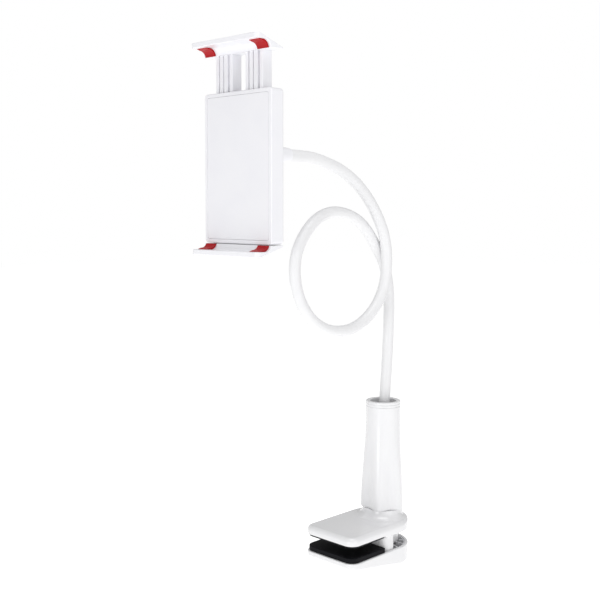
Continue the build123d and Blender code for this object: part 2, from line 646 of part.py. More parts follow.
with BuildPart() as ball_nut:
    with BuildSketch(ball_plane):
        with BuildLine():
            Polyline(
                (0, -BALL_NUT_FRONT), (BALL_NUT_OUTER, -BALL_NUT_FRONT),
                (BALL_NUT_OUTER, -BALL_NUT_WAIST),
                (BALL_NUT_OUTER - BALL_NUT_TAPER, BALL_NUT_REAR), (0, BALL_NUT_REAR), close=True,
            )
        make_face()
    revolve(axis=ball_axis)
    with Locations(ball_back):
        Sphere(CAVITY_RADIUS, mode=Mode.SUBTRACT)
        Cylinder(BALL_RADIUS - MOUTH_LIP, 3 * BALL_NUT_REAR, mode=Mode.SUBTRACT)
    with Locations(ball_back.offset(-BALL_NUT_FRONT)):
        upright(-BALL_NUT_FRONT, SLIDING - BOSS_SHORT, NUT_THREAD, mode=Mode.SUBTRACT)
finish(ball_nut.part, "ball_nut")

# ------------------------------------------------------------------------------------------ clip
RAIL_CENTRES = {side: CLIP_X + sign * RAIL_SPACING / 2 for side, sign in SIDES.items()}


def cover_screw_places(y):
    """The four cover screws' places at one depth, looking along +Y."""
    places = [
        Location((CLIP_X + sign * COVER_SCREW_X, y, HOUSING_MIDDLE + rise), (-90, 0, 0))
        for sign in SIDES.values()
        for rise in (-COVER_SCREW_RISE, COVER_SCREW_RISE)
    ]
    return Locations(*places)


def jaw_screw_places(height, spread, y):
    """The two screws of a gripping jaw, at one height."""
    return Locations((CLIP_X - spread, y, height), (CLIP_X + spread, y, height))


JAW_SCREW_Y = HOUSING_FRONT + JAW_SCREW_SETBACK
RAIL_SCREW_Y = RAIL_FRONT + RAIL_DEPTH / 2
COVER_FACE_Y = HOUSING_FRONT + COVER

with BuildPart() as back_shell:
    with BuildSketch(Plane.XZ.offset(-HOUSING_FRONT)):
        with Locations((CLIP_X, HOUSING_MIDDLE)):
            RectangleRounded(CLIP_WIDTH, HOUSING_HEIGHT, HOUSING_CORNER)
    extrude(amount=HOUSING_FRONT - HOUSING_BACK)
    fillet(back_shell.faces().sort_by(Axis.Y)[-1].edges(), HOUSING_BACK_EDGE)
    with BuildSketch(Plane.XZ.offset(-HOUSING_FRONT)):
        with Locations((CLIP_X, HOUSING_MIDDLE)):
            RectangleRounded(
                CLIP_WIDTH - 2 * COVER_BORDER, HOUSING_HEIGHT - 2 * COVER_BORDER, COVER_CORNER
            )
    extrude(amount=-COVER, mode=Mode.SUBTRACT)
    for rail_x in RAIL_CENTRES.values():
        with Locations((rail_x, COVER_FACE_Y, CHANNEL_FLOOR)):
            Box(
                RAIL_WIDTH + 2 * SLIDING,
                RAIL_DEPTH + 2 * SLIDING,
                HOUSING_HEIGHT,
                align=(Align.CENTER, Align.MIN, Align.MIN),
                mode=Mode.SUBTRACT,
            )
    with Locations(ball_back.offset(HOUSING_BACK - BOSS_ROOT - BALL_Y)):
        upright(HOUSING_BACK - BOSS_ROOT, BALL_Y - BOSS_SHORT, BOSS_RADIUS)
        upright(0, BOSS_ROOT + BOSS_FOOT_HEIGHT, BOSS_RADIUS + BOSS_FOOT)
    with Locations(ball_back):
        Sphere(CAVITY_RADIUS, mode=Mode.SUBTRACT)
    with cover_screw_places(COVER_FACE_Y):
        upright(0, COVER_BOSS, COVER_BOSS_RADIUS, mode=Mode.SUBTRACT)
        upright(0, HOUSING_BACK - COVER_FACE_Y, SCREW_RADIUS, mode=Mode.SUBTRACT)
    with cover_screw_places(HOUSING_BACK - SCREW_HEAD):
        upright(0, SCREW_HEAD + 1, SCREW_HEAD_RADIUS, mode=Mode.SUBTRACT)
    with jaw_screw_places(BOTTOM_SEAT, COVER_SCREW_X, JAW_SCREW_Y):
        upright(0, JAW_SCREW + 1, SCREW_RADIUS, mode=Mode.SUBTRACT)
finish(back_shell.part, "back_shell")

with BuildPart() as front_cover:
    with BuildSketch(Plane.XZ.offset(-HOUSING_FRONT)):
        with Locations((CLIP_X, HOUSING_MIDDLE)):
            RectangleRounded(
                CLIP_WIDTH - 2 * (COVER_BORDER + COVER_GAP),
                HOUSING_HEIGHT - 2 * (COVER_BORDER + COVER_GAP),
                COVER_CORNER,
            )
    extrude(amount=-COVER)
    with cover_screw_places(COVER_FACE_Y):
        upright(0, COVER_BOSS, COVER_BOSS_RADIUS)
        upright(0, COVER_BOSS, SCREW_RADIUS, mode=Mode.SUBTRACT)
finish(front_cover.part, "front_cover")

with BuildPart() as cover_screws:
    with cover_screw_places(HOUSING_BACK - SCREW_HEAD):
        upright(0, SCREW_HEAD, SCREW_HEAD_RADIUS)
    with cover_screw_places(COVER_FACE_Y + COVER_SCREW_TIP):
        upright(COVER_FACE_Y + COVER_SCREW_TIP, HOUSING_BACK - SCREW_HEAD, SCREW_RADIUS)
finish(cover_screws.part, "cover_screws")


def jaw_point(seat, outward):
    """Turns a distance forward of the housing's front, and one away from a seat, into Y and Z."""
    return lambda forward, away: (HOUSING_FRONT - forward, seat + outward * away)


def cove_points(lip_inner):
    """The cove's front, bend and rear, forward of the housing and away from the jaw's seat."""
    return (COVE_REACH, lip_inner), (COVE_BEND[0], COVE_BEND[1] * lip_inner), (0, 0)


def jaw_profile(seat, outward, lip_inner):
    """Side profile of a gripping jaw: a lip in front, a cove under it, a thin tail behind."""
    at = jaw_point(seat, outward)
    with BuildSketch(Plane.YZ.offset(CLIP_X - CLIP_WIDTH / 2)) as profile:
        with BuildLine():
            Polyline(
                at(0, 0), at(-TAIL_REACH, 0), at(-TAIL_REACH, TAIL_OUTER),
                at(LIP_REACH, lip_inner + LIP), at(LIP_REACH, lip_inner), at(COVE_REACH, lip_inner),
            )
            ThreePointArc(*[at(*point) for point in cove_points(lip_inner)])
        make_face()
    return profile.sketch


def pad_profile(seat, outward, lip_inner, x):
    """Side profile of a rubber pad that lines a gripping jaw's cove."""
    at = jaw_point(seat, outward)
    front, bend, _ = cove_points(lip_inner)
    with BuildSketch(Plane.YZ.offset(x)) as profile:
        with BuildLine():
            Line(at(PAD_REACH, lip_inner), at(*front))
            ThreePointArc(*[at(*point) for point in cove_points(lip_inner)])
            Line(at(0, 0), at(PAD, 0))
            ThreePointArc(
                at(PAD, 0), at(bend[0] + PAD * PAD_BEND, bend[1] - PAD * PAD_BEND),
                at(COVE_REACH, lip_inner - PAD),
            )
            Polyline(
                at(COVE_REACH, lip_inner - PAD), at(PAD_REACH, lip_inner - PAD_TIP),
                at(PAD_REACH, lip_inner),
            )
        make_face()
    return profile.sketch


JAWS = {
    "bottom": (BOTTOM_SEAT, -1, BOTTOM_LIP_INNER, COVER_SCREW_X, JAW_SCREW_Y),
    "top": (TOP_SEAT, 1, TOP_LIP_INNER, RAIL_SPACING / 2, RAIL_SCREW_Y),
}
for jaw, (seat, outward, lip_inner, screw_spread, screw_y) in JAWS.items():
    head_plane = seat + outward * JAW_SCREW_FLOOR
    screw_low, screw_high = sorted((seat - outward * JAW_SCREW, head_plane))
    with BuildPart() as grip_jaw:
        extrude(jaw_profile(seat, outward, lip_inner), amount=CLIP_WIDTH, dir=(1, 0, 0))
        fillet(grip_jaw.edges().filter_by(Axis.Z).group_by(Axis.Y)[0], LIP_CORNER)
        with jaw_screw_places(seat, screw_spread, screw_y):
            Cylinder(SCREW_RADIUS, 3 * JAW_SCREW_FLOOR, mode=Mode.SUBTRACT)
        with jaw_screw_places(head_plane + outward * LIP, screw_spread, screw_y):
            Cylinder(SCREW_HEAD_RADIUS, 2 * LIP, mode=Mode.SUBTRACT)
    finish(grip_jaw.part, f"{jaw}_jaw")

    with BuildPart() as jaw_screws:
        with jaw_screw_places(screw_low, screw_spread, screw_y):
            upright(screw_low, screw_high, SCREW_RADIUS)
        with jaw_screw_places(head_plane + outward * SCREW_HEAD / 2, screw_spread, screw_y):
            Cylinder(SCREW_HEAD_RADIUS, SCREW_HEAD)
    finish(jaw_screws.part, f"{jaw}_jaw_screws")

    for side, sign in SIDES.items():
        pad_middle = CLIP_X + sign * (CLIP_WIDTH / 2 - PAD_END - PAD_WIDTH / 2)
        with BuildPart() as grip_pad:
            profile = pad_profile(seat, outward, lip_inner, pad_middle - PAD_WIDTH / 2)
            extrude(profile, amount=PAD_WIDTH, dir=(1, 0, 0))
        finish(grip_pad.part, f"{jaw}_pad_{side}")

# -------------------------------------------------------------------------------- rails, springs
for side, rail_x in RAIL_CENTRES.items():
    with BuildPart() as rail:
        with Locations((rail_x, RAIL_FRONT, RAIL_LOW)):
            Box(
                RAIL_WIDTH, RAIL_DEPTH, TOP_SEAT - RAIL_LOW,
                align=(Align.CENTER, Align.MIN, Align.MIN),
            )
        with Locations((rail_x, RAIL_FRONT + RAIL_FACE, RAIL_LOW)):
            Box(
                RAIL_WIDTH - 2 * RAIL_WALL, RAIL_DEPTH, TOP_SEAT - RAIL_LOW - RAIL_PLUG,
                align=(Align.CENTER, Align.MIN, Align.MIN), mode=Mode.SUBTRACT,
            )
        for groove_x, groove_width in GROOVES:
            with Locations((rail_x + groove_x, RAIL_FRONT, RAIL_LOW)):
                Box(
                    groove_width, 2 * GROOVE_DEPTH, TOP_SEAT - RAIL_LOW,
                    align=(Align.CENTER, Align.CENTER, Align.MIN), mode=Mode.SUBTRACT,
                )
        with Locations((rail_x, RAIL_SCREW_Y, TOP_SEAT - JAW_SCREW)):
            upright(0, JAW_SCREW, SCREW_RADIUS, mode=Mode.SUBTRACT)
    finish(rail.part, f"rail_{side}")

    with BuildPart() as spring:
        with Locations((rail_x, SPRING_Y, SPRING_LOW)):
            upright(SPRING_LOW, SPRING_HIGH, SPRING_OUTER)
            upright(SPRING_LOW, SPRING_HIGH, SPRING_INNER, mode=Mode.SUBTRACT)
    finish(spring.part, f"spring_{side}")

with BuildPart() as spring_anchors:
    for rail_x in RAIL_CENTRES.values():
        with Locations((rail_x, RAIL_FRONT + RAIL_FACE, SPRING_HIGH)):
            Box(
                RAIL_WIDTH - 2 * RAIL_WALL, RAIL_DEPTH - RAIL_FACE, ANCHOR,
                align=(Align.CENTER, Align.MIN, Align.MIN),
            )
finish(spring_anchors.part, "spring_anchors")

with BuildPart() as spring_posts:
    for rail_x in RAIL_CENTRES.values():
        with Locations((rail_x, COVER_FACE_Y + RAIL_DEPTH + 2 * SLIDING, CHANNEL_FLOOR)):
            Box(
                POST_WIDTH, RAIL_DEPTH - RAIL_FACE - POST_CLEARANCE, SPRING_RISE,
                align=(Align.CENTER, Align.MAX, Align.MIN),
            )
finish(spring_posts.part, "spring_posts")
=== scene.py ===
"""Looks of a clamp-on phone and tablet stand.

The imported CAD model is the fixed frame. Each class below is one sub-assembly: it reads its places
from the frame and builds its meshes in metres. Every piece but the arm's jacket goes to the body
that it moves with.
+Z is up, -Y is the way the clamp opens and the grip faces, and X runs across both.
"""

from __future__ import annotations

import json
import logging
import math
from collections.abc import Callable, Iterable, Sequence
from dataclasses import dataclass
from enum import Enum

import bmesh
import bpy
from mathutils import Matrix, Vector

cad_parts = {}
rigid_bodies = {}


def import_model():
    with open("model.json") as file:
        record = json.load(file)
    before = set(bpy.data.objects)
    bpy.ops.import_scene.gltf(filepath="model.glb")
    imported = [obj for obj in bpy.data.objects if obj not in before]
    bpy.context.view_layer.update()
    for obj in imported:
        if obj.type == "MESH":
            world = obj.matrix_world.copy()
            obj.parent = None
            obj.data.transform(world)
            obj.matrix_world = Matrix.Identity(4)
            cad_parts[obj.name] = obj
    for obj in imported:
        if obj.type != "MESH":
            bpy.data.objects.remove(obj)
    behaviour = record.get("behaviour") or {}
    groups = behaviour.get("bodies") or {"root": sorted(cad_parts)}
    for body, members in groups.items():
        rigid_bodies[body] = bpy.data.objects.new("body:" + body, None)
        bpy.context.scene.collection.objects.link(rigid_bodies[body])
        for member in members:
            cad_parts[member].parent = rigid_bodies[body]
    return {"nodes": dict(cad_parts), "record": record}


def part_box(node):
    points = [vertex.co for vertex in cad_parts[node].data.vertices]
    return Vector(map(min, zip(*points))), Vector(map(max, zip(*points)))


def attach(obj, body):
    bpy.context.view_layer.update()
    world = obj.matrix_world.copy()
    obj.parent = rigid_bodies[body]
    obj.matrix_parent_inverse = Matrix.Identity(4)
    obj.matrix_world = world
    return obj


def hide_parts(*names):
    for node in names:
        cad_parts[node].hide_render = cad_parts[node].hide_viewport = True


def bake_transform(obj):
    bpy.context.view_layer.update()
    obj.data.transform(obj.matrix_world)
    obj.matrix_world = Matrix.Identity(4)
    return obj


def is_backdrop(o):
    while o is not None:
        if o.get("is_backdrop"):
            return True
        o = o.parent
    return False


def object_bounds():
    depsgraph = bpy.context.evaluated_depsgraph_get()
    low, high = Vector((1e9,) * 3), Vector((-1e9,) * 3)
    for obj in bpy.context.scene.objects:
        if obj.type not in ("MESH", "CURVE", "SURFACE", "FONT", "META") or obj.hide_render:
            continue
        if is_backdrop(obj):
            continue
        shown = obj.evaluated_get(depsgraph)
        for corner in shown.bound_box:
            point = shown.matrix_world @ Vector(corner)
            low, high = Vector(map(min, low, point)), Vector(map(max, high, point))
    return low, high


LOG = logging.getLogger("phone_stand")
MM = 0.001
PATCH_SCALE = 45.0  # soft patches of a finish, per metre
PATCH_SHARE = 0.7  # of a finish's unevenness that comes from the patches, the rest from the grain
COAT_ROUGHNESS = 0.08
SMALLEST_RADIUS = 0.05 * MM

Point2 = tuple[float, float]
Corner = tuple[float, float, float]
Lay = Callable[[float, float, float], tuple[float, float, float]]
Ring = list[Vector]


class Body(Enum):
    """Bodies of the frame that pieces ride on."""

    CLAMP = "clamp"
    HANDLE = "handle"
    LOWER_JAW = "lower_jaw"
    ARM_BASE = "arm_base"
    ARM_RISE = "arm_rise"
    ARM_LOOP = "arm_loop"
    ARM_REACH = "arm_reach"
    BALL_NUT = "ball_nut"
    CLIP = "clip"
    SLIDER = "slider"


class Slot(Enum):
    """Material slots of the record."""

    WHITE_GLOSS = "white_gloss"
    WHITE_CLIP = "white_clip"
    WHITE_JACKET = "white_jacket"
    GREY_PLASTIC = "grey_plastic"
    LINER_PLASTIC = "liner_plastic"
    BLACK_RUBBER = "black_rubber"
    RED_RUBBER = "red_rubber"
    STEEL = "steel"
    ARM_STEEL = "arm_steel"


class Cap(Enum):
    """How the two ends of a stack of rings are closed."""

    FLAT = "flat"
    STRIPS = "strips"
    LOOP = "loop"


# ------------------------------------------------------------------------------- node expressions
@dataclass(frozen=True)
class Signal:
    """A number that a node tree works out, so that node maths reads as an expression.

    Args:
        graph: The graph that the number belongs to.
        socket: The output socket that carries it.
    """

    graph: Graph
    socket: bpy.types.NodeSocket

    def _math(self, operation: str, *values: Signal | float) -> Signal:
        """Adds one Math node.

        Args:
            operation: What the node works out.
            *values: Its inputs, in order.

        Returns:
            The node's result.
        """
        inputs = dict(enumerate(values))
        return self.graph.signal("ShaderNodeMath", {"operation": operation}, inputs)

    def __add__(self, other: Signal | float) -> Signal:
        """Sum."""
        return self._math("ADD", self, other)

    __radd__ = __add__

    def __mul__(self, other: Signal | float) -> Signal:
        """Product."""
        return self._math("MULTIPLY", self, other)

    __rmul__ = __mul__

    def __sub__(self, other: Signal | float) -> Signal:
        """Difference."""
        return self._math("SUBTRACT", self, other)

    def __rsub__(self, other: float) -> Signal:
        """Difference from a plain number."""
        return self._math("SUBTRACT", other, self)

    def cosine(self) -> Signal:
        """Cosine of an angle in radians."""
        return self._math("COSINE", self)

    def sine(self) -> Signal:
        """Sine of an angle in radians."""
        return self._math("SINE", self)

    def ramp(self, low: float, high: float) -> Signal:
        """Rises smoothly from 0 to 1 as the number goes from low to high.

        Args:
            low: Where the rise starts.
            high: Where it ends.

        Returns:
            A number from 0 to 1.
        """
        settings = {"interpolation_type": "SMOOTHSTEP"}
        inputs = {"Value": self, "From Min": low, "From Max": high, "To Min": 0.0, "To Max": 1.0}
        return self.graph.signal("ShaderNodeMapRange", settings, inputs)


class Graph:
    """Adds nodes to one node tree.

    Args:
        tree: The tree of a material, a world or a geometry modifier.
    """

    def __init__(self, tree: bpy.types.NodeTree) -> None:
        self.tree = tree

    def node(
        self,
        kind: str,
        settings: dict[str, object] | None = None,
        inputs: dict[str | int, object] | None = None,
    ) -> bpy.types.Node:
        """Adds one node.

        Args:
            kind: The node's type name.
            settings: Its properties, set first.
            inputs: Values, signals or output sockets, by input name or number.

        Returns:
            The new node.
        """
        node = self.tree.nodes.new(kind)
        for name, value in (settings or {}).items():
            setattr(node, name, value)
        for key, value in (inputs or {}).items():
            self.feed(node.inputs[key], value)
        return node

    def feed(self, socket: bpy.types.NodeSocket, value: object) -> None:
        """Gives an input socket its value.

        Args:
            socket: The input.
            value: A signal or an output socket to link, or a plain value.
        """
        if isinstance(value, Signal):
            value = value.socket
        if isinstance(value, bpy.types.NodeSocket):
            self.tree.links.new(value, socket)
        else:
            socket.default_value = value

    def signal(
        self,
        kind: str,
        settings: dict[str, object] | None = None,
        inputs: dict[str | int, object] | None = None,
        output: str | int = 0,
    ) -> Signal:
        """Adds one node, as node() does.

        Args:
            kind: The node's type name.
            settings: Its properties, set first.
            inputs: Values, signals or output sockets, by input name or number.
            output: The output to read, by name or number.

        Returns:
            That output as a signal.
        """
        return Signal(self, self.node(kind, settings, inputs).outputs[output])


# --------------------------------------------------------------------------------------- finishes
@dataclass(frozen=True)
class Finish:
    """A finish in moulded plastic, rubber or metal.

    Args:
        slot: The record's slot that the finish belongs to.
        colour: Its main colour.
        drift: A second colour that the main one drifts towards in soft patches.
        roughness: Mean roughness.
        unevenness: How far the roughness wanders either way.
        grain: Size of the surface grain, in metres.
        grain_depth: Height of the grain, in metres.
        metallic: 1 for bare metal.
        coat: Strength of a clear glossy skin.
        sheen: Strength of its plain reflection, 0.5 for common plastics.
    """

    slot: Slot
    colour: tuple[float, float, float]
    drift: tuple[float, float, float]
    roughness: float
    unevenness: float = 0.04
    grain: float = 0.6 * MM
    grain_depth: float = 0.01 * MM
    metallic: float = 0.0
    coat: float = 0.0
    sheen: float = 0.5

    def material(self) -> bpy.types.Material:
        """Builds the finish's material once and returns it."""
        name = f"{self.slot.value}_finish"
        if name in bpy.data.materials:
            return bpy.data.materials[name]
        material = bpy.data.materials.new(name)
        material.use_nodes = True
        graph = Graph(material.node_tree)
        shader = graph.tree.nodes["Principled BSDF"]
        place = graph.node("ShaderNodeTexCoord").outputs["Object"]
        patches = graph.signal(
            "ShaderNodeTexNoise", inputs={"Vector": place, "Scale": PATCH_SCALE, "Detail": 3.0}
        )
        fine = graph.signal(
            "ShaderNodeTexNoise", inputs={"Vector": place, "Scale": 1 / self.grain, "Detail": 4.0}
        )
        drifted = graph.node(
            "ShaderNodeMix",
            {"data_type": "RGBA"},
            {0: patches.ramp(0.35, 0.75), 6: (*self.colour, 1.0), 7: (*self.drift, 1.0)},
        )
        mixed = patches * PATCH_SHARE + fine * (1 - PATCH_SHARE)
        bump = graph.node(
            "ShaderNodeBump", inputs={"Height": fine, "Distance": self.grain_depth, "Strength": 1.0}
        )
        feeds = {
            "Base Color": drifted.outputs[2],
            "Roughness": (mixed - 0.5) * (2 * self.unevenness) + self.roughness,
            "Normal": bump.outputs["Normal"],
            "Metallic": self.metallic,
            "Coat Weight": self.coat,
            "Coat Roughness": COAT_ROUGHNESS,
            "Specular IOR Level": self.sheen,
        }
        for name, value in feeds.items():
            graph.feed(shader.inputs[name], value)
        return material


FINISHES: dict[Slot, Finish] = {
    finish.slot: finish
    for finish in (
        Finish(Slot.WHITE_GLOSS, (0.83, 0.83, 0.84), (0.815, 0.815, 0.83), 0.22, 0.03, 1.4 * MM,
               0.004 * MM, coat=0.5),
        Finish(Slot.WHITE_CLIP, (0.87, 0.87, 0.90), (0.855, 0.855, 0.89), 0.32, 0.04, 0.5 * MM,
               0.006 * MM, coat=0.25),
        Finish(Slot.WHITE_JACKET, (0.82, 0.82, 0.83), (0.805, 0.805, 0.815), 0.40, 0.05, 0.8 * MM,
               0.01 * MM, coat=0.1),
        Finish(Slot.GREY_PLASTIC, (0.72, 0.72, 0.74), (0.68, 0.68, 0.70), 0.42),
        Finish(Slot.LINER_PLASTIC, (0.62, 0.61, 0.58), (0.58, 0.57, 0.54), 0.45),
        Finish(Slot.BLACK_RUBBER, (0.004, 0.004, 0.006), (0.008, 0.008, 0.010), 0.66, 0.08,
               0.35 * MM, 0.03 * MM, sheen=0.14),
        Finish(Slot.RED_RUBBER, (0.42, 0.006, 0.010), (0.36, 0.005, 0.009), 0.45, 0.06,
               0.4 * MM, 0.015 * MM, sheen=0.18),
        Finish(Slot.STEEL, (0.62, 0.62, 0.63), (0.55, 0.55, 0.56), 0.28, 0.06, 0.3 * MM,
               0.004 * MM, metallic=1.0),
        Finish(Slot.ARM_STEEL, (0.36, 0.36, 0.37), (0.30, 0.30, 0.31), 0.45, 0.08, 0.3 * MM,
               0.01 * MM, metallic=1.0),
    )
}


# ------------------------------------------------------------------------------------ mesh making
def place(piece: bpy.types.Object, body: Body, slot: Slot, *replaced: str) -> None:
    """Dresses a finished piece and hands it to the frame.

    Args:
        piece: The piece, with its place in its mesh.
        body: The body that it moves with.
        slot: The finish that it takes.
        *replaced: CAD nodes that it stands for.
    """
    dress(piece, slot)
    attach(piece, body.value)
    if replaced:
        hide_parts(*replaced)
    LOG.info("%s rides on %s", piece.name, body.value)


def dress(piece: bpy.types.Object, slot: Slot) -> None:
    """Gives a piece one finish all over."""
    piece.data.materials.clear()
    piece.data.materials.append(FINISHES[slot].material())


def add_object(name: str, data: bpy.types.ID) -> bpy.types.Object:
    """Adds a mesh, curve, light or camera to the scene as an object at the origin.

    Args:
        name: The object's name.
        data: Its mesh or other data.

    Returns:
        The new object.
    """
    piece = bpy.data.objects.new(name, data)
    bpy.context.scene.collection.objects.link(piece)
    return piece


def add_mesh(name: str, mesh_data: bmesh.types.BMesh) -> bpy.types.Object:
    """Adds an edited mesh to the scene as an object, and frees the edit.

    Args:
        name: The object's name.
        mesh_data: The edited mesh.

    Returns:
        The new object.
    """
    mesh = bpy.data.meshes.new(name)
    mesh_data.to_mesh(mesh)
    mesh_data.free()
    return add_object(name, mesh)


def bake(piece: bpy.types.Object) -> bpy.types.Object:
    """Turns a piece with modifiers into a plain mesh of the same name.

    Args:
        piece: A mesh or curve object with live modifiers.

    Returns:
        The plain mesh object that takes its place.
    """
    graph = bpy.context.evaluated_depsgraph_get()
    mesh = bpy.data.meshes.new_from_object(piece.evaluated_get(graph), depsgraph=graph)
    name = piece.name
    bpy.data.objects.remove(piece)
    return smooth(add_object(name, mesh))


def smooth(piece: bpy.types.Object, crease: float = 32.0) -> bpy.types.Object:
    """Shades a piece smooth, apart from its sharp edges.

    Args:
        piece: The piece.
        crease: Angle past which an edge is sharp, in degrees.

    Returns:
        The same piece.
    """
    piece.data.shade_smooth()
    piece.data.set_sharp_from_angle(angle=math.radians(crease))
    return piece


def weight_normals(piece: bpy.types.Object) -> bpy.types.Object:
    """Keeps large flat faces flat where rounded edges meet them.

    Args:
        piece: The piece.

    Returns:
        The same piece, with a live modifier.
    """
    modifier = piece.modifiers.new("weighted_normals", "WEIGHTED_NORMAL")
    modifier.keep_sharp = True
    return piece


def stack(name: str, rings: Sequence[Ring], cap: Cap = Cap.FLAT) -> bpy.types.Object:
    """Joins rings of equally many points into one closed skin.

    Args:
        name: The piece's name.
        rings: The rings in order.
        cap: How the first and last ring are closed, or LOOP to join them to each other.

    Returns:
        The new object.
    """
    mesh_data = bmesh.new()
    rows = [[mesh_data.verts.new(point) for point in ring] for ring in rings]
    count = len(rows[0])
    pairs = list(zip(rows, rows[1:]))
    if cap is Cap.LOOP:
        pairs.append((rows[-1], rows[0]))
    for lower, upper in pairs:
        for index in range(count):
            following = (index + 1) % count
            mesh_data.faces.new((lower[index], lower[following], upper[following], upper[index]))
    for row in (rows[0], rows[-1]) if cap is not Cap.LOOP else ():
        if cap is Cap.FLAT:
            mesh_data.faces.new(row)
        else:
            for index in range((count - 1) // 2):
                mirrored = count - 1 - index
                face = [row[index], row[index + 1], row[mirrored - 1], row[mirrored]]
                mesh_data.faces.new(dict.fromkeys(face))
    bmesh.ops.remove_doubles(mesh_data, verts=mesh_data.verts, dist=1e-7)
    bmesh.ops.recalc_face_normals(mesh_data, faces=mesh_data.faces)
    return smooth(add_mesh(name, mesh_data))


def arc_steps(count: int) -> list[Point2]:
    """Evenly spaced steps of a quarter circle.

    Args:
        count: Number of steps.

    Returns:
        1 - cosine and sine of each angle from 0 to 90 degrees.
    """
    angles = [math.pi / 2 * step / count for step in range(count + 1)]
    return [(1 - math.cos(angle), math.sin(angle)) for angle in angles]


def rounded_levels(low: float, high: float, edge: float, steps: int) -> list[Point2]:
    """Levels of a solid whose edges at both ends are rounded.

    Args:
        low: Level of the first end.
        high: Level of the second end.
        edge: Radius of the rounding.
        steps: Facets of the rounding.

    Returns:
        The inset and the level of each ring.
    """
    ends = [(edge - edge * sine, edge * share) for share, sine in arc_steps(steps)]
    levels = [(inset, low + rise) for inset, rise in ends]
    return levels + [(inset, high - rise) for inset, rise in reversed(ends)]


def both_sides(half: Sequence[Vector]) -> Ring:
    """A half outline followed by its mirror image across the middle.

    Args:
        half: Points of the +X half.

    Returns:
        Points of the whole outline.
    """
    return [*half, *(Vector((-point.x, *point[1:])) for point in reversed(half))]


def column_axis() -> Vector:
    """Axis of the clamp's column in plan."""
    low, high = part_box("core_tube")
    return Vector(((low.x + high.x) / 2, (low.y + high.y) / 2))


def forward_axis(node: str) -> Vector:
    """Axis of a CAD node that is turned about Y."""
    low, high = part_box(node)
    return Vector(((low.x + high.x) / 2, 0, (low.z + high.z) / 2))


@dataclass(frozen=True)
class Outline:
    """Closed outline whose corners are each rounded by a radius of their own.

    Args:
        corners: x, y and radius of each corner, in order. A radius of 0 leaves one sharp point.
        steps: Facets of each rounding.
    """

    corners: Sequence[Corner]
    steps: int = 5

    def points(self, inset: float = 0.0) -> list[Point2]:
        """The outline's points.

        Args:
            inset: Distance to the left of each side, which is inward if it runs counter-clockwise.

        Returns:
            Equally many points for any inset.
        """
        outline: list[Point2] = []
        count = len(self.corners)
        for index, (x, y, radius) in enumerate(self.corners):
            corner = Vector((x, y))
            arriving = (corner - Vector(self.corners[index - 1][:2])).normalized()
            leaving = (Vector(self.corners[(index + 1) % count][:2]) - corner).normalized()
            first = Vector((-arriving.y, arriving.x))
            second = Vector((-leaving.y, leaving.x))
            inward = (first + second) / (1 + first.dot(second))
            moved = corner + inward * inset
            if radius <= 0:
                outline.append(tuple(moved))
                continue
            turn = math.atan2(first.cross(second), first.dot(second))
            side = 1.0 if turn > 0 else -1.0
            kept = max(radius - side * inset, SMALLEST_RADIUS)
            centre = moved + inward * (kept * side)
            start = math.atan2(-first.y * side, -first.x * side)
            for step in range(self.steps + 1):
                angle = start + turn * step / self.steps
                x, y = centre.x + kept * math.cos(angle), centre.y + kept * math.sin(angle)
                outline.append((x, y))
        return outline


def rectangle(low: Point2, high: Point2, radius: float, steps: int = 6) -> Outline:
    """A rectangle with equally rounded corners.

    Args:
        low: Its lowest corner.
        high: Its highest corner.
        radius: Radius of the corners.
        steps: Facets of each corner.

    Returns:
        The outline, counter-clockwise.
    """
    places = ((low[0], low[1]), (high[0], low[1]), (high[0], high[1]), (low[0], high[1]))
    return Outline([(x, y, radius) for x, y in places], steps)


def arc_through(start: Point2, via: Point2, end: Point2, steps: int = 10) -> list[Point2]:
    """Points of the arc through three points.

    Args:
        start: First end.
        via: A point on the arc.
        end: Last end.
        steps: Facets of the arc.

    Returns:
        The points, both ends included.
    """
    a, b, c = Vector(start), Vector(via), Vector(end)
    u, v = b - a, c - a
    cross = 2 * u.cross(v)
    centre = a + Vector((v.y * u.length_squared - u.y * v.length_squared,
                         u.x * v.length_squared - v.x * u.length_squared)) / cross
    spoke = a - centre
    last = c - centre
    turn = math.atan2(spoke.cross(last), spoke.dot(last))
    points = []
    for step in range(steps + 1):
        angle = turn * step / steps
        cosine, sine = math.cos(angle), math.sin(angle)
        points.append((
            centre.x + spoke.x * cosine - spoke.y * sine,
            centre.y + spoke.x * sine + spoke.y * cosine,
        ))
    return points


def sharp(points: Iterable[Point2]) -> list[Corner]:
    """Turns plain points into corners that aren't rounded."""
    return [(x, y, 0.0) for x, y in points]


def prism(
    name: str,
    outline: Outline,
    low: float,
    high: float,
    edge: float,
    lay: Lay,
    steps: int = 4,
) -> bpy.types.Object:
    """A solid of one outline between two levels, with both ends' edges rounded.

    Args:
        name: The piece's name.
        outline: Counter-clockwise outline.
        low: Level of the first end.
        high: Level of the second end.
        edge: Radius of the rounded edges.
        lay: Turns outline x, outline y and level into a point in the frame.
        steps: Facets of the rounding.

    Returns:
        The new object.
    """
    rings = [
        [Vector(lay(x, y, level)) for x, y in outline.points(inset)]
        for inset, level in rounded_levels(low, high, edge, steps)
    ]
    return weight_normals(stack(name, rings))


def turned(
    name: str,
    profile: Sequence[Point2],
    centre: Vector,
    lay: Lay,
    steps: int = 72,
) -> bpy.types.Object:
    """A ring turned from a closed profile.

    Args:
        name: The piece's name.
        profile: Closed outline of radius and distance along the axis.
        centre: Origin of the axis.
        lay: Turns cosine part, sine part and distance along the axis into an offset.
        steps: Facets round the axis.

    Returns:
        The new object.
    """
    rings = []
    for radius, along in profile:
        ring = []
        for step in range(steps):
            angle = 2 * math.pi * step / steps
            offset = lay(radius * math.cos(angle), radius * math.sin(angle), along)
            ring.append(centre + Vector(offset))
        rings.append(ring)
    return weight_normals(stack(name, rings, Cap.LOOP))


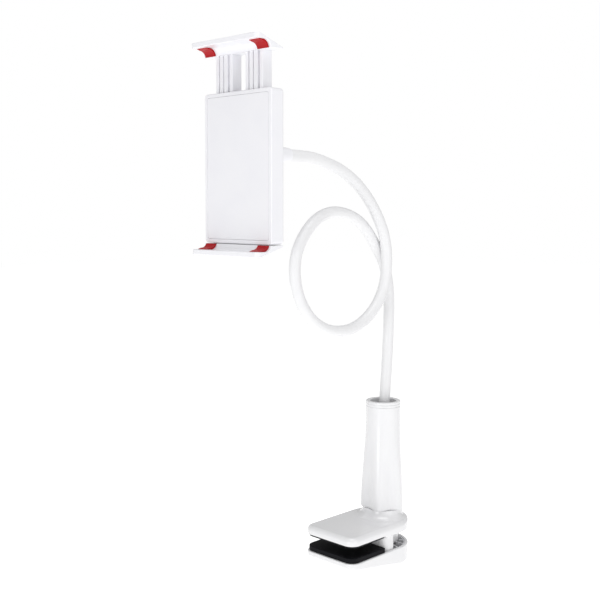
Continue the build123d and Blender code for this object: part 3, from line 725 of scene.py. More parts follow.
def upright(x: float, y: float, along: float) -> tuple[float, float, float]:
    """Lays an outline in plan, its levels along +Z."""
    return (x, y, along)


def facing(x: float, z: float, along: float) -> tuple[float, float, float]:
    """Lays an outline in front view, its levels along +Y."""
    return (x, along, z)


def sideways(y: float, z: float, along: float) -> tuple[float, float, float]:
    """Lays an outline in side view, its levels along +X."""
    return (along, y, z)


# --------------------------------------------------------------------------------- geometry nodes
class NodeShape:
    """A piece made by Geometry Nodes: it ends in Realize Instances and Set Material.

    Args:
        name: The piece's name.
        slot: The finish set at the tree's end.
    """

    def __init__(self, name: str, slot: Slot) -> None:
        self.name = name
        self.slot = slot
        self.tree = bpy.data.node_groups.new(name, "GeometryNodeTree")
        self.graph = Graph(self.tree)
        self.tree.interface.new_socket("Geometry", in_out="OUTPUT", socket_type="NodeSocketGeometry")
        self.tree.interface.new_socket("Geometry", in_out="INPUT", socket_type="NodeSocketGeometry")
        self.source = self.graph.node("NodeGroupInput")
        self.values: dict[str, object] = {}

    def size(self, name: str, value: float | int) -> Signal:
        """Adds a named input for a size or a count, and returns its signal."""
        kind = "NodeSocketInt" if isinstance(value, int) else "NodeSocketFloat"
        socket = self.tree.interface.new_socket(name, in_out="INPUT", socket_type=kind)
        self.values[socket.identifier] = value
        return Signal(self.graph, self.source.outputs[name])

    def geometry(self) -> bpy.types.NodeSocket:
        """The geometry that the piece starts from."""
        return self.source.outputs["Geometry"]

    def on_points(self, instance: bpy.types.NodeSocket, angle: float) -> bpy.types.NodeSocket:
        """Puts one shape on each of the piece's points.

        Args:
            instance: The shape's geometry.
            angle: How far the shape is turned about X, in radians.

        Returns:
            The geometry socket of all of them.
        """
        turn = self.graph.node(
            "FunctionNodeAxisAngleToRotation", inputs={"Axis": (1, 0, 0), "Angle": angle}
        )
        sockets = {"Points": self.geometry(), "Instance": instance, "Rotation": turn.outputs[0]}
        return self.graph.node("GeometryNodeInstanceOnPoints", inputs=sockets).outputs[0]

    def build(self, shape: bpy.types.NodeSocket, carrier: bpy.types.Object) -> bpy.types.Object:
        """Ends the tree, runs it on a carrier object and returns the plain mesh.

        Args:
            shape: The geometry socket to finish.
            carrier: The object that the modifier runs on. The piece takes its place.

        Returns:
            The plain mesh object.
        """
        real = self.graph.node("GeometryNodeRealizeInstances", inputs={0: shape})
        material = FINISHES[self.slot].material()
        dressed = self.graph.node(
            "GeometryNodeSetMaterial", inputs={"Geometry": real.outputs[0], "Material": material}
        )
        end = self.graph.node("NodeGroupOutput")
        self.tree.links.new(dressed.outputs[0], end.inputs["Geometry"])
        carrier.name = self.name
        modifier = carrier.modifiers.new(self.name, "NODES")
        modifier.node_group = self.tree
        for identifier, value in self.values.items():
            modifier[identifier] = value
        return bake(carrier)


def empty_carrier(name: str) -> bpy.types.Object:
    """An object with no mesh yet, for a tree that makes all of its geometry."""
    return add_object(name, bpy.data.meshes.new(name))


def point_carrier(name: str, points: Iterable[Vector]) -> bpy.types.Object:
    """An object whose mesh is loose points, which a tree puts shapes on."""
    mesh = bpy.data.meshes.new(name)
    mesh.from_pydata([tuple(point) for point in points], [], [])
    return add_object(name, mesh)


# ------------------------------------------------------------------------------------------ clamp
def quarter(
    centre: Vector, radius: float, start: float, steps: int
) -> list[tuple[Vector, Vector]]:
    """A quarter circle that turns to the left.

    Args:
        centre: Its centre.
        radius: Its radius.
        start: Direction of its first point, in radians.
        steps: Facets of it.

    Returns:
        Each point with its inward normal.
    """
    pairs = []
    for step in range(steps + 1):
        angle = start + math.pi / 2 * step / steps
        spoke = Vector((math.cos(angle), math.sin(angle)))
        pairs.append((centre + spoke * radius, -spoke))
    return pairs


@dataclass
class JawOutline:
    """Plan of a clamp jaw or pad: rounded front corners, and a round or a square rear end.

    Args:
        half_width: Half of the width.
        front: Y of the front edge.
        rear: Y where the rear's round end starts, or of the square rear edge.
        corner: Radius of the front corners.
        round_rear: True for a half circle behind the rear line.
        stations: Y values that the sides must have points at.
        rear_corner: Radius of the corners of a square rear.
        side_steps: Facets of a straight side.
    """

    half_width: float
    front: float
    rear: float
    corner: float
    round_rear: bool = True
    stations: tuple[float, ...] = ()
    rear_corner: float = 1.0 * MM
    side_steps: int = 14

    def half(self) -> list[tuple[Vector, Vector]]:
        """Points and inward normals of the +X half, from the front to the rear."""
        start = self.front + self.corner
        centre = Vector((self.half_width - self.corner, start))
        points = quarter(centre, self.corner, -math.pi / 2, 12)
        reach, steps = self.rear - start, self.side_steps
        ys = {start + reach * step / steps for step in range(1, steps)}
        for y in sorted(ys | set(self.stations)):
            points.append((Vector((self.half_width, y)), Vector((-1, 0))))
        if self.round_rear:
            return points + quarter(Vector((0, self.rear)), self.half_width, 0, 24)
        edge = self.rear_corner
        return points + quarter(Vector((self.half_width - edge, self.rear - edge)), edge, 0, 4)

    def ring(
        self, inset: Callable[[Vector], float] | float, height: Callable[[Vector], float] | float
    ) -> Ring:
        """One ring of the outline.

        Args:
            inset: Distance inward, the same all round or worked out at each point.
            height: Z, the same all round or worked out at each point.

        Returns:
            The ring's points.
        """
        right: Ring = []
        for point, inward in self.half():
            amount = inset(point) if callable(inset) else inset
            level = height(point) if callable(height) else height
            moved = point + inward * amount
            right.append(Vector((moved.x, moved.y, level)))
        return both_sides(right)


def raised(bottom: Callable[[Vector], float], amount: float) -> Callable[[Vector], float]:
    """A surface that lies an even amount over another one."""
    return lambda point: bottom(point) + amount


@dataclass
class Clamp:
    """The two jaws, their pads and the guide block between them.

    Args:
        edge: Rounding of the upper jaw's top edge.
        collar: Radius of the round collar that carries the handle.
        collar_fillet: Largest rounding between the collar and the jaw.
        collar_bore: Radius of the recess in the collar.
        cover_height: From the upper pad's top to the jaw's top.
        corner: Radius of the jaws' front corners.
        nose: Thickness of the lower jaw's front.
        heel_setback: From the throat to where the lower jaw is deepest.
        pocket_wall: Width of the rim round the lower jaw's pocket.
        pocket_floor: Thickness under the pocket.
        under_edge: Rounding of the lower jaw's bottom edge.
        small_edge: Rounding of all other edges.
        step: Half of the length over which the upper jaw's underside steps at the throat.
        flat: Width of the flat strip inside a rounded bottom edge.
        edge_share: Largest top edge, as a share of the distance to the collar.
        fillet_share: Largest rounding at the collar, as a share of the same distance.
        rim: Rounding of the collar's top.
        recess: Depth of the recess in the collar.
        block_gap: From the lower jaw's pocket to the guide block's front.
        pad_edge: Rounding of the pads' edges.
    """

    edge: float = 4.0 * MM
    collar: float = 18.5 * MM
    collar_fillet: float = 7.0 * MM
    collar_bore: float = 15.5 * MM
    cover_height: float = 7.2 * MM
    corner: float = 10.0 * MM
    nose: float = 5.0 * MM
    heel_setback: float = 23.5 * MM
    pocket_wall: float = 2.7 * MM
    pocket_floor: float = 5.0 * MM
    under_edge: float = 2.2 * MM
    small_edge: float = 0.8 * MM
    step: float = 0.4 * MM
    flat: float = 0.6 * MM
    edge_share: float = 0.35
    fillet_share: float = 0.62
    rim: float = 0.5 * MM
    recess: float = 5.0 * MM
    block_gap: float = 0.5 * MM
    pad_edge: float = 0.7 * MM

    def outline(self, node: str) -> JawOutline:
        """Plan of a jaw.

        Args:
            node: The jaw's CAD node.

        Returns:
            The outline, from the node's box.
        """
        low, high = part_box(node)
        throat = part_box("upper_pad")[1].y
        half_width = (high.x - low.x) / 2
        stations = (throat - self.step, throat, throat + self.step)
        return JawOutline(half_width, low.y, high.y - half_width, self.corner, True, stations)

    def upper_jaw(self) -> None:
        """Cover of the upper jaw, with the collar growing out of it."""
        outline = self.outline("upper_jaw")
        low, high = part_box("upper_jaw")
        pad_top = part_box("upper_pad")[1]
        top = pad_top.z + self.cover_height
        column = column_axis()

        def bottom(point: Vector) -> float:
            """Level of the underside, which steps down behind the throat."""
            share = min(1.0, max(0.0, (point.y - pad_top.y + self.step) / (2 * self.step)))
            return pad_top.z + (low.z - pad_top.z) * share

        def reach(point: Vector) -> float:
            """Distance from a point of the outline to the collar."""
            return (point - column).length - self.collar

        def edge_at(point: Vector) -> float:
            """Rounding of the top edge, smaller where the collar is near."""
            return min(self.edge, self.edge_share * reach(point))

        def fillet_at(point: Vector) -> float:
            """Rounding between the jaw's top and the collar."""
            return min(self.collar_fillet, self.fillet_share * reach(point))

        def towards_collar(point: Vector, distance: float, level: float) -> Vector:
            """The place at a distance from the column's axis, in the point's direction."""
            spoke = (point - column).normalized() * distance
            return Vector((column.x + spoke.x, column.y + spoke.y, level))

        small = self.small_edge
        rings = [outline.ring(small + self.flat, bottom), outline.ring(small, bottom)]
        for share, sine in arc_steps(3)[1:]:
            rings.append(outline.ring(small - small * sine, raised(bottom, small * share)))
        for share, sine in arc_steps(7):
            rings.append(
                outline.ring(
                    lambda p, s=share: edge_at(p) * s,
                    lambda p, s=sine: top - edge_at(p) + edge_at(p) * s,
                )
            )
        whole = both_sides([point for point, _ in outline.half()])
        for share, sine in arc_steps(6):
            ring = []
            for p in whole:
                fillet = fillet_at(p)
                distance = self.collar + fillet * (1 - sine)
                ring.append(towards_collar(p, distance, top + fillet * share))
            rings.append(ring)
        circles = [
            (self.collar - self.rim * share, high.z - self.rim + self.rim * sine)
            for share, sine in arc_steps(3)
        ]
        circles += [(self.collar_bore, high.z), (self.collar_bore, high.z - self.recess)]
        for radius, level in circles:
            rings.append([towards_collar(p, radius, level) for p in whole])
        jaw = weight_normals(stack("upper_jaw_cover", rings, Cap.STRIPS))
        place(jaw, Body.CLAMP, Slot.WHITE_GLOSS, "upper_jaw")

    def lower_jaw(self) -> None:
        """Wedge of the lower jaw, open at the top where the guide block goes in."""
        outline = self.outline("lower_jaw")
        low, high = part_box("lower_jaw")
        block_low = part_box("guide_block")[0]
        heel_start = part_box("upper_pad")[1].y + self.heel_setback
        small, under, wall = self.small_edge, self.under_edge, self.pocket_wall

        def bottom(point: Vector) -> float:
            """Level of the underside, which falls from the nose to the heel."""
            share = min(1.0, (point.y - low.y) / (heel_start - low.y))
            return high.z - self.nose + (low.z - high.z + self.nose) * share

        rings = [outline.ring(under + self.flat, bottom), outline.ring(under, bottom)]
        for share, sine in arc_steps(5)[1:]:
            rings.append(outline.ring(under - under * sine, raised(bottom, under * share)))
        for share, sine in arc_steps(3):
            rings.append(outline.ring(small * share, high.z - small + small * sine))
        front = block_low.y - self.block_gap
        keep_apart = 0.999  # for points that share the pocket's straight front
        for level in (high.z, low.z + self.pocket_floor):
            pocket: Ring = []
            for point, inward in outline.half():
                moved = point + inward * wall
                x = moved.x if moved.y >= front else moved.x * keep_apart
                pocket.append(Vector((x, max(moved.y, front), level)))
            rings.append(both_sides(pocket))
        jaw = weight_normals(stack("lower_jaw_wedge", rings, Cap.STRIPS))
        place(jaw, Body.LOWER_JAW, Slot.WHITE_GLOSS, "lower_jaw")

    def pads(self) -> None:
        """The thin upper pad and the thick lower pad."""
        for node, body in (("upper_pad", Body.CLAMP), ("lower_pad", Body.LOWER_JAW)):
            low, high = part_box(node)
            corner = self.corner - (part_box("upper_jaw")[1].x - high.x)
            outline = JawOutline((high.x - low.x) / 2, low.y, high.y, corner, False)
            edge = min(self.pad_edge, (high.z - low.z) * 0.3)
            inner = edge + 0.5 * MM
            levels = [(inner, low.z), *rounded_levels(low.z, high.z, edge, 4), (inner, high.z)]
            rings = [outline.ring(inset, level) for inset, level in levels]
            pad = weight_normals(stack(f"{node}_rubber", rings, Cap.STRIPS))
            place(pad, body, Slot.BLACK_RUBBER, node)

    def build(self) -> None:
        """Builds every piece of the clamp."""
        self.upper_jaw()
        self.lower_jaw()
        self.pads()


# ----------------------------------------------------------------------------------------- handle
@dataclass
class Handle:
    """The twist grip: a sleeve whose five lobes fade out upwards, and a ring on its top.

    Args:
        lobes: Number of lobes.
        top_radius: Radius of the round top.
        foot_mean: Mean radius at the foot.
        lobe_depth: Height of a lobe over the mean at the foot.
        ridge: Direction of one lobe's ridge, in degrees from +X.
        bore: Radius inside the sleeve.
        opening: Radius of the opening in the ring.
        fade_end: Share of the height at which the lobes have faded out.
        lip: How far the foot turns in.
        lip_share: Share of the height over which it does.
        grooves: Height of each groove over the ring's foot.
        groove_width: Width of a groove.
        groove_depth: Depth of a groove.
        around: Facets round the sleeve.
        rows: Rows of points up the sleeve.
    """

    lobes: int = 5
    top_radius: float = 16.0 * MM
    foot_mean: float = 18.4 * MM
    lobe_depth: float = 2.1 * MM
    ridge: float = 225.0
    bore: float = 14.0 * MM
    opening: float = 12.0 * MM
    fade_end: float = 0.92
    lip: float = 0.7 * MM
    lip_share: float = 0.008
    grooves: tuple[float, ...] = (1.4 * MM, 3.8 * MM)
    groove_width: float = 0.5 * MM
    groove_depth: float = 0.45 * MM
    around: int = 240
    rows: int = 90

    def sleeve(self) -> None:
        """The grip, by Geometry Nodes: a grid wrapped round the column by its lobe formula."""
        low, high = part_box("handle_sleeve")
        column = column_axis()
        shape = NodeShape("grip_sleeve", Slot.WHITE_GLOSS)
        lobes = shape.size("Lobes", float(self.lobes))
        top_radius = shape.size("Top radius", self.top_radius)
        foot_mean = shape.size("Foot mean radius", self.foot_mean)
        lobe_depth = shape.size("Lobe depth", self.lobe_depth)
        foot = shape.size("Foot height", low.z)
        top = shape.size("Top height", high.z)
        ridge = shape.size("Ridge direction", math.radians(self.ridge))
        graph = shape.graph
        counts = {"Vertices X": self.around + 1, "Vertices Y": self.rows}
        grid = graph.node("GeometryNodeMeshGrid", inputs={"Size X": 1.0, "Size Y": 1.0, **counts})
        parts = graph.node(
            "ShaderNodeSeparateXYZ",
            inputs={0: graph.node("GeometryNodeInputPosition").outputs[0]},
        )
        angle = (Signal(graph, parts.outputs[0]) + 0.5) * (2 * math.pi)
        climb = Signal(graph, parts.outputs[1]) + 0.5
        fade = 1 - climb.ramp(0.0, self.fade_end)
        mean = top_radius + (foot_mean - top_radius) * fade
        radius = mean + lobe_depth * fade * ((angle - ridge) * lobes).cosine()
        radius = radius - (1 - climb.ramp(-self.lip_share, self.lip_share)) * self.lip
        where = graph.node(
            "ShaderNodeCombineXYZ",
            inputs={
                0: angle.cosine() * radius + column.x,
                1: angle.sine() * radius + column.y,
                2: foot + (top - foot) * climb,
            },
        )
        moved = graph.node(
            "GeometryNodeSetPosition",
            inputs={"Geometry": grid.outputs["Mesh"], "Position": where.outputs[0]},
        )
        merged = graph.node(
            "GeometryNodeMergeByDistance", inputs={"Geometry": moved.outputs[0], "Distance": 1e-6}
        )
        sleeve = shape.build(merged.outputs[0], empty_carrier("grip_sleeve"))
        close_tube(sleeve, column, self.bore)
        place(smooth(sleeve), Body.HANDLE, Slot.WHITE_GLOSS, "handle_sleeve")

    def ring(self) -> None:
        """The ring on the sleeve's top, with two fine grooves."""
        low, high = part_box("handle_ring")
        outer = self.top_radius
        deep = outer - self.groove_depth
        profile = [(self.opening, low.z, 0.0), (outer, low.z, 0.0)]
        for rise in self.grooves:
            start, end = low.z + rise, low.z + rise + self.groove_width
            profile += [
                (outer, start, 0.12 * MM), (deep, start, 0.1 * MM),
                (deep, end, 0.1 * MM), (outer, end, 0.12 * MM),
            ]
        profile += [(outer, high.z, 0.9 * MM), (self.opening, high.z, 0.9 * MM)]
        centre = column_axis().to_3d()
        ring = turned("grip_ring", Outline(profile, 4).points(), centre, upright, 120)
        place(ring, Body.HANDLE, Slot.WHITE_GLOSS, "handle_ring")

    def build(self) -> None:
        """Builds the grip and its ring."""
        self.sleeve()
        self.ring()


def close_tube(piece: bpy.types.Object, column: Vector, bore: float) -> None:
    """Gives an open upright tube flat ends and an inner wall.

    Args:
        piece: The tube, open at its lowest and highest ring.
        column: Its axis in plan.
        bore: Radius of the inner wall.
    """
    mesh_data = bmesh.new()
    mesh_data.from_mesh(piece.data)
    rims = [edge for edge in mesh_data.edges if edge.is_boundary]
    grown = bmesh.ops.extrude_edge_only(mesh_data, edges=rims)
    inner = [item for item in grown["geom"] if isinstance(item, bmesh.types.BMVert)]
    for vertex in inner:
        spoke = (vertex.co.to_2d() - column).normalized() * bore
        vertex.co.x, vertex.co.y = column.x + spoke.x, column.y + spoke.y
    loops = [item for item in grown["geom"] if isinstance(item, bmesh.types.BMEdge)]
    bmesh.ops.bridge_loops(mesh_data, edges=loops)
    bmesh.ops.recalc_face_normals(mesh_data, faces=mesh_data.faces)
    mesh_data.to_mesh(piece.data)
    mesh_data.free()


# -------------------------------------------------------------------------------------------- arm
@dataclass
class Arm:
    """The bendable arm: a smooth jacket along one curve, in a piece for each bend.

    Args:
        radius: The jacket's radius.
        bends: Runs of the route that the arm bends in the middle of, counted from the foot.
        spread: Half of the length over which a bend is spread; not used.
        pitch: Distance between the jacket's rings.
        facets: Facets round the jacket.
    """

    radius: float = 5.0 * MM
    bends: tuple[int, ...] = (1, 2, 7, 13)
    spread: float = 16.0 * MM
    pitch: float = 0.8 * MM
    facets: int = 40

    @staticmethod
    def route() -> list[Vector]:
        """Control points of the arm's centre line, from its foot to the clip."""
        column = column_axis().y / MM
        ball = forward_axis("ball_stud") / MM
        points = [
            (0, column, 4.5),
            (0, column, 98),
            (-1.5, column + 8.5, 165),
            (-4, column + 13.5, 226),
            (-4, column - 4, 258),
            (-4, column - 32.5, 288),
            (-3, column - 80, 293.5),
            (-1, column - 116.5, 259),
            (2, column - 115.5, 217),
            (5, column - 88, 188),
            (6.8, column - 44, 186),
            (6.8, column - 7, 214.5),
            (6.8, column - 2, 261),
            (5, column - 20.5, 297.5),
            (2, column - 50, 325),
            (0, column - 90, 337.5),
            (ball.x, column - 112, ball.z),
            (ball.x, column - 131, ball.z),
        ]
        return [Vector(point) * MM for point in points]

    def curve(self, name: str) -> bpy.types.Object:
        """The centre line, as a smooth spline that touches the route's runs.

        Args:
            name: The object's name.

        Returns:
            The curve object.
        """
        route = self.route()
        curve = bpy.data.curves.new(name, "CURVE")
        curve.dimensions = "3D"
        curve.resolution_u = 24
        spline = curve.splines.new("NURBS")
        spline.points.add(len(route) - 1)
        for point, control in zip(spline.points, route):
            point.co = (*control, 1.0)
        spline.use_endpoint_u = True
        spline.order_u = 3
        return add_object(name, curve)

    def line_points(self) -> list[Vector]:
        """Points along the smooth centre line, read from the spline."""
        line = self.curve("arm_line")
        graph = bpy.context.evaluated_depsgraph_get()
        mesh = bpy.data.meshes.new_from_object(line.evaluated_get(graph), depsgraph=graph)
        points = [vertex.co.copy() for vertex in mesh.vertices]
        bpy.data.objects.remove(line)
        bpy.data.meshes.remove(mesh)
        return points

    @staticmethod
    def length_at(points: Sequence[Vector], target: Vector) -> float:
        """Length along the line, up to its point nearest to a place.

        Args:
            points: Points along the line.
            target: The place.

        Returns:
            The length, in metres.
        """
        nearest = min(range(len(points)), key=lambda index: (points[index] - target).length)
        return sum((b - a).length for a, b in zip(points[:nearest], points[1 : nearest + 1]))

    def section(self, name: str, start: float, end: float) -> bpy.types.Object:
        """One piece of the jacket, by Geometry Nodes.

        Args:
            name: The piece's name.
            start: Length along the centre line where the piece starts.
            end: Length where it ends.

        Returns:
            The plain mesh.
        """
        shape = NodeShape(name, Slot.WHITE_JACKET)
        first = shape.size("Start length", start)
        last = shape.size("End length", end)
        radius = shape.size("Jacket radius", self.radius)
        facets = shape.size("Facets", self.facets)
        graph = shape.graph
        even = graph.node(
            "GeometryNodeResampleCurve",
            {"mode": "LENGTH"},
            {"Curve": shape.geometry(), "Length": self.pitch},
        )
        trimmed = graph.node(
            "GeometryNodeTrimCurve",
            {"mode": "LENGTH"},
            {"Curve": even.outputs[0], 4: first, 5: last},
        )
        circle = graph.node(
            "GeometryNodeCurvePrimitiveCircle", inputs={"Resolution": facets, "Radius": radius}
        )
        tube = graph.node(
            "GeometryNodeCurveToMesh",
            inputs={"Curve": trimmed.outputs[0], "Profile Curve": circle.outputs[0]},
        )
        return shape.build(tube.outputs[0], self.curve(name))

    def build(self) -> None:
        """Builds the jacket's pieces, cut midway between the bends, and hides the CAD jackets that
        they stand for.
        """
        points = self.line_points()
        route = self.route()
        whole = sum((b - a).length for a, b in zip(points, points[1:]))
        hinges = [self.length_at(points, (route[run] + route[run + 1]) / 2) for run in self.bends]
        cuts = [0.0] + [(a + b) / 2 for a, b in zip(hinges, hinges[1:])] + [whole]
        sections = ("foot", "base", "rise", "loop", "reach")
        for index, run in enumerate(self.bends):
            jacket = self.section(f"jacket_{sections[index]}", cuts[index], cuts[index + 1])
            dress(jacket, Slot.WHITE_JACKET)
            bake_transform(jacket)
            replaced = [f"arm_jacket_{sections[index]}"]
            if index == len(self.bends) - 1:
                replaced.append(f"arm_jacket_{sections[-1]}")
            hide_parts(*replaced)


# ------------------------------------------------------------------------------------- ball joint
@dataclass
class BallJoint:
    """The visible pieces of the ball joint: the ferrule on the arm and the ribbed ball nut.

    Args:
        ribs: Ribs round the nut.
        rib_width: Width of a rib.
        rib_length: Length of a rib.
        rib_middle: From the nut's front to the middle of its ribs.
        ferrule_end: Radius of the ferrule's end on the arm.
        arm_bore: Radius of the ferrule's bore for the arm.
        stud_bore: Radius of its bore for the ball stud.
        nut_bore: Radius of the nut's thread.
        nut_mouth: Radius of the opening behind the ball.
    """

    ribs: int = 24
    rib_width: float = 1.5 * MM
    rib_length: float = 6.0 * MM
    rib_middle: float = 4.4 * MM
    ferrule_end: float = 5.7 * MM
    arm_bore: float = 4.95 * MM
    stud_bore: float = 3.4 * MM
    nut_bore: float = 12.0 * MM
    nut_mouth: float = 8.3 * MM

    def ferrule(self) -> None:
        """The cone that holds the arm's end."""
        low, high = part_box("arm_ferrule")
        large = (high.x - low.x) / 2
        profile = [
            (self.stud_bore, low.y, 0.0), (large, low.y, 0.9 * MM),
            (large - 0.2 * MM, low.y + 3 * MM, 2 * MM), (self.ferrule_end, high.y, 0.4 * MM),
            (self.arm_bore, high.y, 0.0), (self.stud_bore, high.y - 3 * MM, 0.0),
        ]
        centre = forward_axis("arm_ferrule")
        piece = turned("arm_cone", Outline(profile).points(), centre, facing, 72)
        place(piece, Body.ARM_REACH, Slot.WHITE_CLIP, "arm_ferrule")

    def nut(self) -> None:
        """The ball nut: a turned cone with ribs for the fingers."""
        low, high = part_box("ball_nut")
        centre = forward_axis("ball_nut")
        large = (high.x - low.x) / 2 - 0.5 * MM
        small = large - 3.0 * MM
        waist = low.y + 6.0 * MM
        profile = [
            (self.nut_bore, low.y, 0.3 * MM), (large, low.y, 0.8 * MM), (large, waist, 4 * MM),
            (small, high.y, 1.2 * MM), (self.nut_mouth, high.y, 0.6 * MM),
            (self.nut_mouth + 1.4 * MM, high.y - 4 * MM, 1 * MM),
            (self.nut_bore, high.y - 6 * MM, 0.0),
        ]
        piece = turned("ball_nut_cone", Outline(profile).points(), centre, facing, 96)
        place(piece, Body.BALL_NUT, Slot.WHITE_CLIP, "ball_nut")
        points = []
        for index in range(self.ribs):
            angle = 2 * math.pi * index / self.ribs
            x, z = large * math.cos(angle), large * math.sin(angle)
            points.append(Vector((centre.x + x, low.y + self.rib_middle, centre.z + z)))
        shape = NodeShape("ball_nut_ribs", Slot.WHITE_CLIP)
        width = shape.size("Rib width", self.rib_width)
        length = shape.size("Rib length", self.rib_length)
        graph = shape.graph
        rib = graph.node(
            "GeometryNodeMeshCylinder",
            inputs={"Vertices": 12, "Radius": width * 0.5, "Depth": length},
        )
        ribs = shape.on_points(rib.outputs["Mesh"], math.pi / 2)
        piece = shape.build(ribs, point_carrier("ball_nut_ribs", points))
        place(piece, Body.BALL_NUT, Slot.WHITE_CLIP)

    def build(self) -> None:
        """Builds the ferrule and the nut."""
        self.ferrule()
        self.nut()


# ------------------------------------------------------------------------------------------- grip
@dataclass
class Grip:
    """The spring grip: housing with its cover, two jaws with rubber pads, and two rails.

    Args:
        corner: Radius of the housing's corners.
        border: Width of the border round the front cover.
        edge: Rounding of the housing's front edges.
        clearance: Space round a rail in its channel.
        lip: Height of a jaw's front face.
        lip_corner: Radius of a lip's front corners in plan.
        grooves: Place from a rail's middle and width of each groove, in millimetres.
        groove_depth: Depth of the rails' grooves.
        liner_space: Thickness of the round space between the ball and its socket.
        depth: Depth of the housing without its boss.
        seam: Width of the seam round the front cover.
        recess: Depth of the recess that the front cover lies in.
        back_edge: Rounding of the housing's back edges.
        boss_foot: Radius of the boss's foot.
        boss_radius: Radius of the boss.
        cover_corner: Radius of the front cover's corners.
        pad_thickness: Thickness of a red pad, in millimetres.
        pad_end: From the housing's front to a red pad's end, in millimetres.
    """

    corner: float = 3.0 * MM
    border: float = 3.2 * MM
    edge: float = 0.8 * MM
    clearance: float = 0.2 * MM
    lip: float = 4.6 * MM
    lip_corner: float = 4.0 * MM
    grooves: tuple[tuple[float, float], ...] = ((-5.8, 1.2), (-0.6, 1.0), (5.6, 2.2))
    groove_depth: float = 2.2 * MM
    liner_space: float = 1.3 * MM
    depth: float = 14.0 * MM
    seam: float = 0.3 * MM
    recess: float = 1.8 * MM
    back_edge: float = 2.5 * MM
    boss_foot: float = 15.95 * MM
    boss_radius: float = 11.9 * MM
    cover_corner: float = 2.0 * MM
    pad_thickness: float = 1.2
    pad_end: float = 9.8

    def housing(self) -> None:
        """Back shell with channels for the rails, and the socket boss on its back."""
        low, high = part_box("back_shell")
        front, back = low.y, low.y + self.depth
        edge, back_edge, border, bevel = self.edge, self.back_edge, self.border, 0.12 * MM
        outer = rectangle((low.x, low.z), (high.x, high.z), self.corner)
        recess = rectangle(
            (low.x + border, low.z + border), (high.x - border, high.z - border), self.cover_corner
        )
        levels = [
            (recess, self.seam, front + self.recess), (recess, 0.0, front + self.recess),
            (recess, 0.0, front + bevel), (recess, -bevel, front),
        ]
        levels += [(outer, edge * (1 - sine), front + edge * share) for share, sine in arc_steps(4)]
        levels += [
            (outer, back_edge * (1 - sine), back - back_edge * share)
            for share, sine in reversed(arc_steps(6))
        ]
        rings = [
            [Vector((x, level, z)) for x, z in outline.points(inset)]
            for outline, inset, level in levels
        ]
        shell = weight_normals(stack("grip_shell", rings))
        for side in ("left", "right"):
            rail_low, rail_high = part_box(f"rail_{side}")
            gap = self.clearance
            cutter = block(
                f"channel_{side}",
                Vector((rail_low.x - gap, rail_low.y - gap, rail_low.z)),
                Vector((rail_high.x + gap, rail_high.y + gap, rail_high.z)),
            )
            modifier = shell.modifiers.new(cutter.name, "BOOLEAN")
            modifier.object = cutter
            modifier.solver = "EXACT"
        shell = bake(shell)
        for side in ("left", "right"):
            bpy.data.objects.remove(bpy.data.objects[f"channel_{side}"])
        place(weight_normals(shell), Body.CLIP, Slot.WHITE_CLIP, "back_shell")
        self.boss(back)

    def boss(self, back: float) -> None:
        """The socket boss behind the housing, with a stepped foot.

        Args:
            back: Y of the housing's back.
        """
        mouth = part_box("back_shell")[1].y
        low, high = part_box("ball_stud")
        ball = (high.x - low.x) / 2
        middle, hollow = low.y + ball, ball + self.liner_space
        root, foot, radius = back - 0.2 * MM, self.boss_foot, self.boss_radius
        profile = [
            (foot, root, 0.0), (foot, back + 2.0 * MM, 0.8 * MM),
            (radius + 1.3 * MM, back + 2.0 * MM, 0.5 * MM),
            (radius, back + 4.0 * MM, 0.8 * MM), (radius, mouth, 0.4 * MM),
        ]
        first, last, steps = math.asin((mouth - middle) / hollow), math.radians(-88), 12
        for step in range(steps + 1):
            angle = first + (last - first) * step / steps
            profile.append((hollow * math.cos(angle), middle + hollow * math.sin(angle), 0.0))
        profile.append((hollow * math.cos(last), root, 0.0))
        centre = forward_axis("ball_stud")
        piece = turned("socket_boss", Outline(profile).points(), centre, facing, 96)
        place(piece, Body.CLIP, Slot.WHITE_CLIP)

    def cover(self) -> None:
        """The flat front cover, set in the housing's border by a fine seam."""
        low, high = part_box("front_cover")
        outline = rectangle((low.x, low.z), (high.x, high.z), self.cover_corner)
        front, back = low.y + 0.05 * MM, low.y + 1.7 * MM
        piece = prism("grip_cover", outline, front, back, 0.15 * MM, facing, 3)
        place(piece, Body.CLIP, Slot.WHITE_CLIP, "front_cover")

    def seat(self, jaw: str) -> Callable[[float, float], Point2]:
        """How a gripping jaw's own profile lies in the frame.

        Args:
            jaw: The jaw's CAD node.

        Returns:
            Turns a distance forward of the housing's front, and one away from the jaw's seat, both
            in millimetres, into Y and Z.
        """
        low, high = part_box(jaw)
        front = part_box("front_cover")[0].y
        if jaw == "top_jaw":
            return lambda forward, away: (front - forward * MM, low.z + away * MM)
        return lambda forward, away: (front - forward * MM, high.z - away * MM)

    def lip_inner(self, jaw: str) -> float:
        """Distance from a jaw's seat to its lip's inner side, in millimetres."""
        low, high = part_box(jaw)
        return (high.z - low.z) / MM - self.lip / MM

    def cove(self, jaw: str, thickness: float = 0.0) -> list[Point2]:
        """The hollow under a jaw's lip, from its front to the housing's front plane.

        Args:
            jaw: The jaw's CAD node.
            thickness: Distance of the line from the jaw's own surface, in millimetres.

        Returns:
            The line's points.
        """
        at = self.seat(jaw)
        inner = self.lip_inner(jaw)
        share = 0.85 * thickness
        return arc_through(
            at(7, inner - thickness), at(1.9 + share, 0.7 * inner - share), at(thickness, 0)
        )

